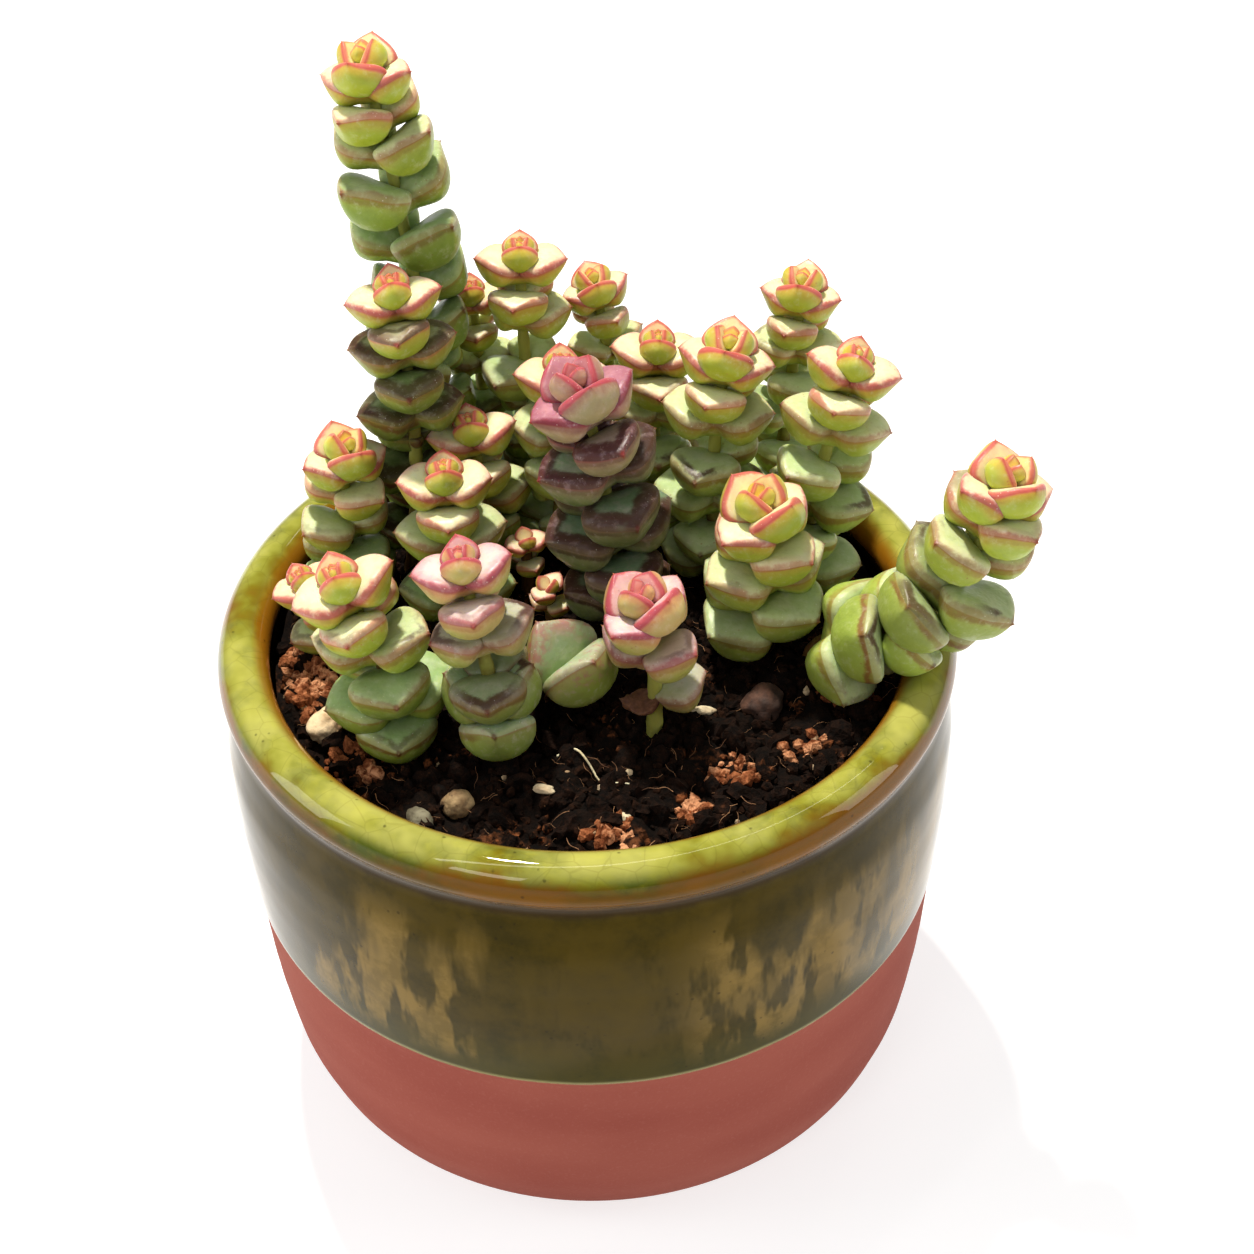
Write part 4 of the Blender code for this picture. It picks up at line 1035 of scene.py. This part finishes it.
def make_pot():
    """Body, round rim bead, bore and floor, as one profile turned round the axis."""
    middle = (RIM_RADIUS - BEAD_RADIUS, RIM_TOP - BEAD_RADIUS)
    bead = []
    for turn in map(math.radians, BEAD_TURNS):
        bead.append((middle[0] + BEAD_RADIUS * math.cos(turn), middle[1] + BEAD_RADIUS * math.sin(turn)))
    profile = eased_line(BODY_PROFILE, 6, 3) + bead + eased_line(BORE_PROFILE, 4, 1)
    points = [(0.0, 0.0, 0.0)]
    for radius, height in profile:
        for turn in circle(POT_STEPS):
            reach = radius + hand_thrown(turn, height)
            points.append((reach * math.cos(turn), reach * math.sin(turn), height))
    points.append((0.0, 0.0, FLOOR_TOP))
    pot = mesh_object("glazed_pot", points, shell_faces(POT_STEPS, len(profile)), pot_paint())
    piece(pot, "pot")


def ground(x, y):
    """Height of the soil with its clods."""
    radius = math.hypot(x, y)
    here = Vector((x, y, 0.0))
    clods = sum(noise.noise(here * scale + Vector(start)) * high for scale, start, high in CLODS)
    clods += abs(noise.noise(here * GRAIN_SCALE)) * GRAIN_HEIGHT
    fade = min(1.0, (SOIL_REACH + FADE_PAST - radius) / FADE_RUN)
    return soil_height(x, y) + clods * fade - GROUND_SINK


def make_soil(material):
    """The soil's uneven top, and below it the pot's bore with a small gap."""
    points = [(0.0, 0.0, ground(0.0, 0.0))]
    for ring in range(SOIL_RINGS):
        radius = SOIL_REACH * (ring + 1) / SOIL_RINGS
        for turn in circle(SOIL_STEPS):
            x, y = radius * math.cos(turn), radius * math.sin(turn)
            points.append((x, y, ground(x, y)))
    wall = [(radius - GAP, height) for radius, height in BORE_PROFILE]
    wall[-1] = (wall[-1][0], FLOOR_TOP + GAP)
    for radius, height in wall:
        points += [(radius * math.cos(turn), radius * math.sin(turn), height) for turn in circle(SOIL_STEPS)]
    points.append((0.0, 0.0, FLOOR_TOP + GAP))
    soil = mesh_object("soil_body", points, shell_faces(SOIL_STEPS, SOIL_RINGS + len(wall)), material)
    piece(soil, "soil")


def rough_ball(subdivisions, half_sizes, seed, rough=0.22, facets=1.0):
    """A lump with a broken surface; its points are in millimetres about its middle."""
    work = bmesh.new()
    bmesh.ops.create_icosphere(work, subdivisions=subdivisions, radius=1.0)
    points = []
    for p in (vert.co for vert in work.verts):
        dent = noise.noise(p * facets + Vector((seed, 0, 0)))
        dent += 0.5 * noise.noise(p * 2.3 * facets + Vector((0, seed, 0)))
        points.append(Vector([p[k] * half_sizes[k] * (1.0 + rough * dent) for k in range(3)]))
    faces = [tuple(v.index for v in face.verts) for face in work.faces]
    work.free()
    return points, faces


def lump(name, ball, turn, tilt, place, finish):
    """A rough ball that lies tilted and turned at its place."""
    spin = Matrix.Rotation(math.radians(turn), 3, "Z") @ tilt
    points, faces = ball
    return mesh_object(name, [spin @ p + Vector(place) for p in points], faces, finish)


def make_stones():
    tilt = Matrix.Rotation(STONE_TILT, 3, "X")
    for number, (name, middle, half_sizes, turn, light, dark) in enumerate(STONES):
        ball = rough_ball(4, half_sizes, 3.0 + number * 5.0)
        place = (*middle, soil_height(*middle) + STONE_LIFT * half_sizes[2])
        label = name.replace("stone_", "pebble_")
        piece(lump(label, ball, turn, tilt, place, stone_paint(name, light, dark)), name)


def scatter_tree(name):
    """Geometry Nodes that strew one shape over a ground, turned and sized at random."""
    tree = bpy.data.node_groups.new(name, "GeometryNodeTree")
    face = tree.interface
    face.new_socket("Ground", in_out="INPUT", socket_type="NodeSocketGeometry")
    for label, kind in SCATTER_INPUTS.items():
        face.new_socket(label, in_out="INPUT", socket_type="NodeSocket" + kind)
    face.new_socket("Made", in_out="OUTPUT", socket_type="NodeSocketGeometry")
    wiring = Wiring(tree)
    node = wiring.node
    enter = tree.nodes.new("NodeGroupInput")
    leave = tree.nodes.new("NodeGroupOutput")
    asked = {socket.name: Value(wiring, socket) for socket in enter.outputs if socket.name}

    points = node("GeometryNodeDistributePointsOnFaces", {},
                  {"Mesh": asked["Ground"], "Density": asked["Per square metre"], "Seed": asked["Seed"]},
                  "Points")
    size = node("FunctionNodeRandomValue", {"data_type": "FLOAT"},
                {2: asked["Smallest"], 3: asked["Largest"], "Seed": asked["Seed"] + 11}, 1)
    turns = node("FunctionNodeRandomValue", {"data_type": "FLOAT_VECTOR"},
                 {0: (-1.0, -1.0, -1.0), 1: (1.0, 1.0, 1.0), "Seed": asked["Seed"] + 23}, 0)
    limit = node("ShaderNodeCombineXYZ", {}, {0: asked["Lean"], 1: asked["Lean"], 2: math.pi})
    turned = node("ShaderNodeVectorMath", {"operation": "MULTIPLY"}, {0: turns, 1: limit})
    shape = node("GeometryNodeObjectInfo", {}, {"Object": asked["Shape"]}, "Geometry")
    strewn_shapes = node("GeometryNodeInstanceOnPoints", {},
                         {"Points": points, "Instance": shape, "Rotation": turned, "Scale": size})
    lowered = node("GeometryNodeTranslateInstances", {},
                   {"Local Space": False, "Instances": strewn_shapes,
                    "Translation": node("ShaderNodeCombineXYZ", {}, {2: asked["Sink"]})})
    real = node("GeometryNodeRealizeInstances", {}, {"Geometry": lowered})
    made = node("GeometryNodeSetMaterial", {}, {"Geometry": real, "Material": asked["Finish"]})
    wiring.feed(leave.inputs["Made"], made)
    return tree


def strewn(name, tree, ground_mesh, *given):
    """The mesh that the scatter nodes make over a ground; what is given follows SCATTER_INPUTS."""
    holder = linked(name, ground_mesh)
    spread = holder.modifiers.new("spread", "NODES")
    spread.node_group = tree
    wanted = dict(zip(SCATTER_INPUTS, given))
    for socket in tree.interface.items_tree:
        if socket.in_out == "INPUT" and socket.name in wanted:
            spread[socket.identifier] = wanted[socket.name]
    graph = bpy.context.evaluated_depsgraph_get()
    mesh = bpy.data.meshes.new_from_object(holder.evaluated_get(graph))
    holder.modifiers.remove(spread)
    holder.data = mesh
    piece(holder, None)


def thread(name, marks, radius, sides, material, taper=0.5):
    """A thin round strand along the marks."""
    line = cut_corners([Vector(mark) for mark in marks], 2)
    rows = []
    for k, centre in enumerate(line):
        ahead = (line[min(k + 1, len(line) - 1)] - line[max(k - 1, 0)]).normalized()
        side = ahead.cross(Vector((0.13, 0.31, 0.94))).normalized()
        rows.append((centre, side, side.cross(ahead), radius * (1 - taper * k / (len(line) - 1))))
    return mesh_object(name, *swept(rows, sides), material)


def soil_disc(name, middle, reach, limit, rings, steps, waver=0.0):
    """A disc that follows the ground, to strew crumbs on; its edge may waver and stops at the limit."""
    points = [(*middle, ground(*middle))]
    for ring in range(rings):
        for turn in circle(steps):
            span = reach * (ring + 1) / rings * (1 + waver * math.sin(3 * turn + reach))
            x, y = middle[0] + span * math.cos(turn), middle[1] + span * math.sin(turn)
            share = min(1.0, limit / math.hypot(x, y))
            points.append((x * share, y * share, ground(x * share, y * share)))
    faces = []
    for step in range(steps):
        after = (step + 1) % steps
        faces.append((0, 1 + step, 1 + after))
        for low in range(1, 1 + (rings - 1) * steps, steps):
            faces.append((low + step, low + steps + step, low + steps + after, low + after))
    return mesh_object(name, points, faces)


def make_litter():
    """Crumbs, clods, fibres, chips and a root thread on the soil."""
    crumb_finish = soil_paint("peat_crumbs", (10, 5, 2), (44, 24, 12), (134, 78, 44), 0.03)
    clod_finish = soil_paint("peat_clods", (8, 4, 2), (34, 18, 9), (104, 62, 36), 0.0)
    # The red crumbs are partly drier peat and partly painted light on the lit patches of soil.
    lit_finish = soil_paint("red_crumbs", (98, 50, 26), (176, 108, 68), (214, 154, 112), 0.1)
    fibre_finish = stone_paint("peat_fibres", (190, 140, 96), (96, 58, 34))
    pale_finish = stone_paint("pale_grit", (214, 190, 152), (150, 116, 80))
    top = soil_disc("soil_top", (0.0, 0.0), SOIL_REACH - TOP_INSET, SOIL_REACH, TOP_RINGS, TOP_STEPS)
    crumb = mesh_object("crumb_shape", *rough_ball(1, (1.0, 0.85, 0.7), 4.0, 0.55, 1.4), smooth=False)
    clod = mesh_object("clod_shape", *rough_ball(2, (1.0, 0.9, 0.62), 9.0, 0.6, 1.6), smooth=False)
    fibre = thread("fibre_shape", FIBRE_MARKS, FIBRE_RADIUS, FIBRE_SIDES, fibre_finish)
    tree = scatter_tree("strew")
    # Name, then what SCATTER_INPUTS lists.
    for name, *given in (
            ("soil_crumbs", crumb, crumb_finish, 270000.0, 3, 0.35, 1.3, 3.1, 0.0001),
            ("soil_clods", clod, clod_finish, 62000.0, 8, 1.0, 2.7, 3.1, 0.0),
            ("soil_fibres", fibre, fibre_finish, 70000.0, 5, 0.2, 0.8, 0.9, 0.0005),
            ("soil_grit", crumb, pale_finish, 7000.0, 12, 0.3, 0.9, 3.1, 0.0002)):
        strewn(name, tree, top.data, *given)
    helpers = [top, crumb, clod, fibre]
    for number, (middle, reach, amount) in enumerate(RED_PATCHES):
        patch = soil_disc("patch", middle, reach, SOIL_REACH - PATCH_INSET, PATCH_RINGS, PATCH_STEPS,
                          PATCH_WAVER)
        strewn(f"red_crumbs_{number + 1}", tree, patch.data, crumb, lit_finish, amount,
               FIRST_PATCH_SEED + number, 0.4, 1.5, 3.1, 0.0006)
        helpers.append(patch)
    for helper in helpers:
        bpy.data.objects.remove(helper)
    bpy.data.node_groups.remove(tree)

    root_finish = stone_paint("root_thread", (236, 226, 190), (196, 176, 128))
    root_line = [(x, y, ground(x, y) + above) for x, y, above in ROOT_MARKS]
    piece(thread("root_thread", root_line, ROOT_RADIUS, ROOT_SIDES, root_finish), None)
    chip_finish = stone_paint("bark_chip", (222, 206, 170), (150, 116, 78))
    tilt = Matrix.Rotation(CHIP_TILT, 3, "Y")
    for number, (name, middle, half_sizes, turn) in enumerate(CHIPS):
        ball = rough_ball(3, half_sizes, 40.0 + number * 3.0, 0.4)
        chip = lump(name, ball, turn, tilt, (*middle, ground(*middle) + CHIP_LIFT), chip_finish)
        piece(chip, None)


def make_floor():
    """A pale floor; its own faint glow keeps the shadow on it light."""
    paint = Paint("pale_floor")
    paint.set(Base_Color=(FLOOR_GREY, FLOOR_GREY, FLOOR_GREY, 1.0), Roughness=0.9,
              Emission_Color=(1.0, 1.0, 1.0, 1.0), Emission_Strength=FLOOR_GLOW)
    corners = [(x * FLOOR_REACH, y * FLOOR_REACH, 0) for x, y in ((-1, -1), (1, -1), (1, 1), (-1, 1))]
    floor = mesh_object("floor", corners, [(0, 1, 2, 3)], paint.material)


def make_surroundings():
    make_floor()
    for name, place, size, power, colour in LIGHTS:
        lamp = bpy.data.lights.new(name, "AREA")
        lamp.shape = "RECTANGLE"
        lamp.size, lamp.size_y = size
        lamp.energy, lamp.color = power, colour
        obj = linked(name, lamp)
        obj.location = Vector(place) * MM
        obj.rotation_euler = (Vector(place) - Vector(LIGHT_AIM)).to_track_quat("Z", "Y").to_euler()
    world = bpy.data.worlds.new("studio")
    bpy.context.scene.world = world
    world.use_nodes = True
    sky = world.node_tree.nodes["Background"]
    sky.inputs["Color"].default_value = (1.0, 1.0, 1.0, 1.0)
    sky.inputs["Strength"].default_value = SKY_STRENGTH
    bpy.context.scene.view_settings.view_transform = "Standard"


def make_camera():
    lens = bpy.data.cameras.new("camera")
    lens.sensor_width = SENSOR_WIDTH
    lens.lens = PHOTO_FOCAL * SENSOR_WIDTH / PHOTO_SIDE
    lens.clip_start = 0.01
    camera = linked("camera", lens)
    camera.location = Vector(CAMERA_AT) * MM
    along = Vector(LOOK_AT) - Vector(CAMERA_AT)
    camera.rotation_mode = "QUATERNION"
    camera.rotation_quaternion = along.to_track_quat("-Z", "Y") @ Quaternion((0, 0, 1), CAMERA_ROLL)
    bpy.context.scene.camera = camera


def solid_blocks():
    """The pot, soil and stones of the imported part, for the leaves to stay clear of."""
    blocks = []
    for name in ["pot", "soil"] + [stone[0] for stone in STONES]:
        obj = NODES[name]
        points = [(obj.matrix_world @ v.co) / MM for v in obj.data.vertices]
        blocks.append(Block(points, [tuple(face.vertices) for face in obj.data.polygons], name))
    return blocks


def main():
    routes, plants = lay_plants(solid_blocks())
    materials = {"leaf": leaf_paint("leaf_skin", LEAF_COLOURS),
                 "pale_leaf": leaf_paint("pale_leaf_skin", LIT_PALE_COLOURS),
                 "pink_leaf": leaf_paint("pink_leaf_skin", PINK_COLOURS),
                 "rosy_leaf": leaf_paint("rosy_leaf_skin", PINK_COLOURS, blotches=0.6),
                 "dark_leaf": leaf_paint("dark_leaf_skin", SHADED_DARK_COLOURS, turned_at=0.6, banding=0.75),
                 "purple_leaf": leaf_paint("purple_leaf_skin", PURPLE_COLOURS, turned_at=0.4, banding=0.9)}
    for number, (name, *_) in enumerate(STEMS):
        node = node_name(name)
        make_stem(name, routes[node], plants[node], materials, FIRST_STEM_SEED + number)
    make_pot()
    make_soil(soil_paint("damp_peat", (7, 4, 2), (26, 14, 7), (76, 44, 24), 0.0))
    make_stones()
    make_litter()
    make_surroundings()
    make_camera()


main()
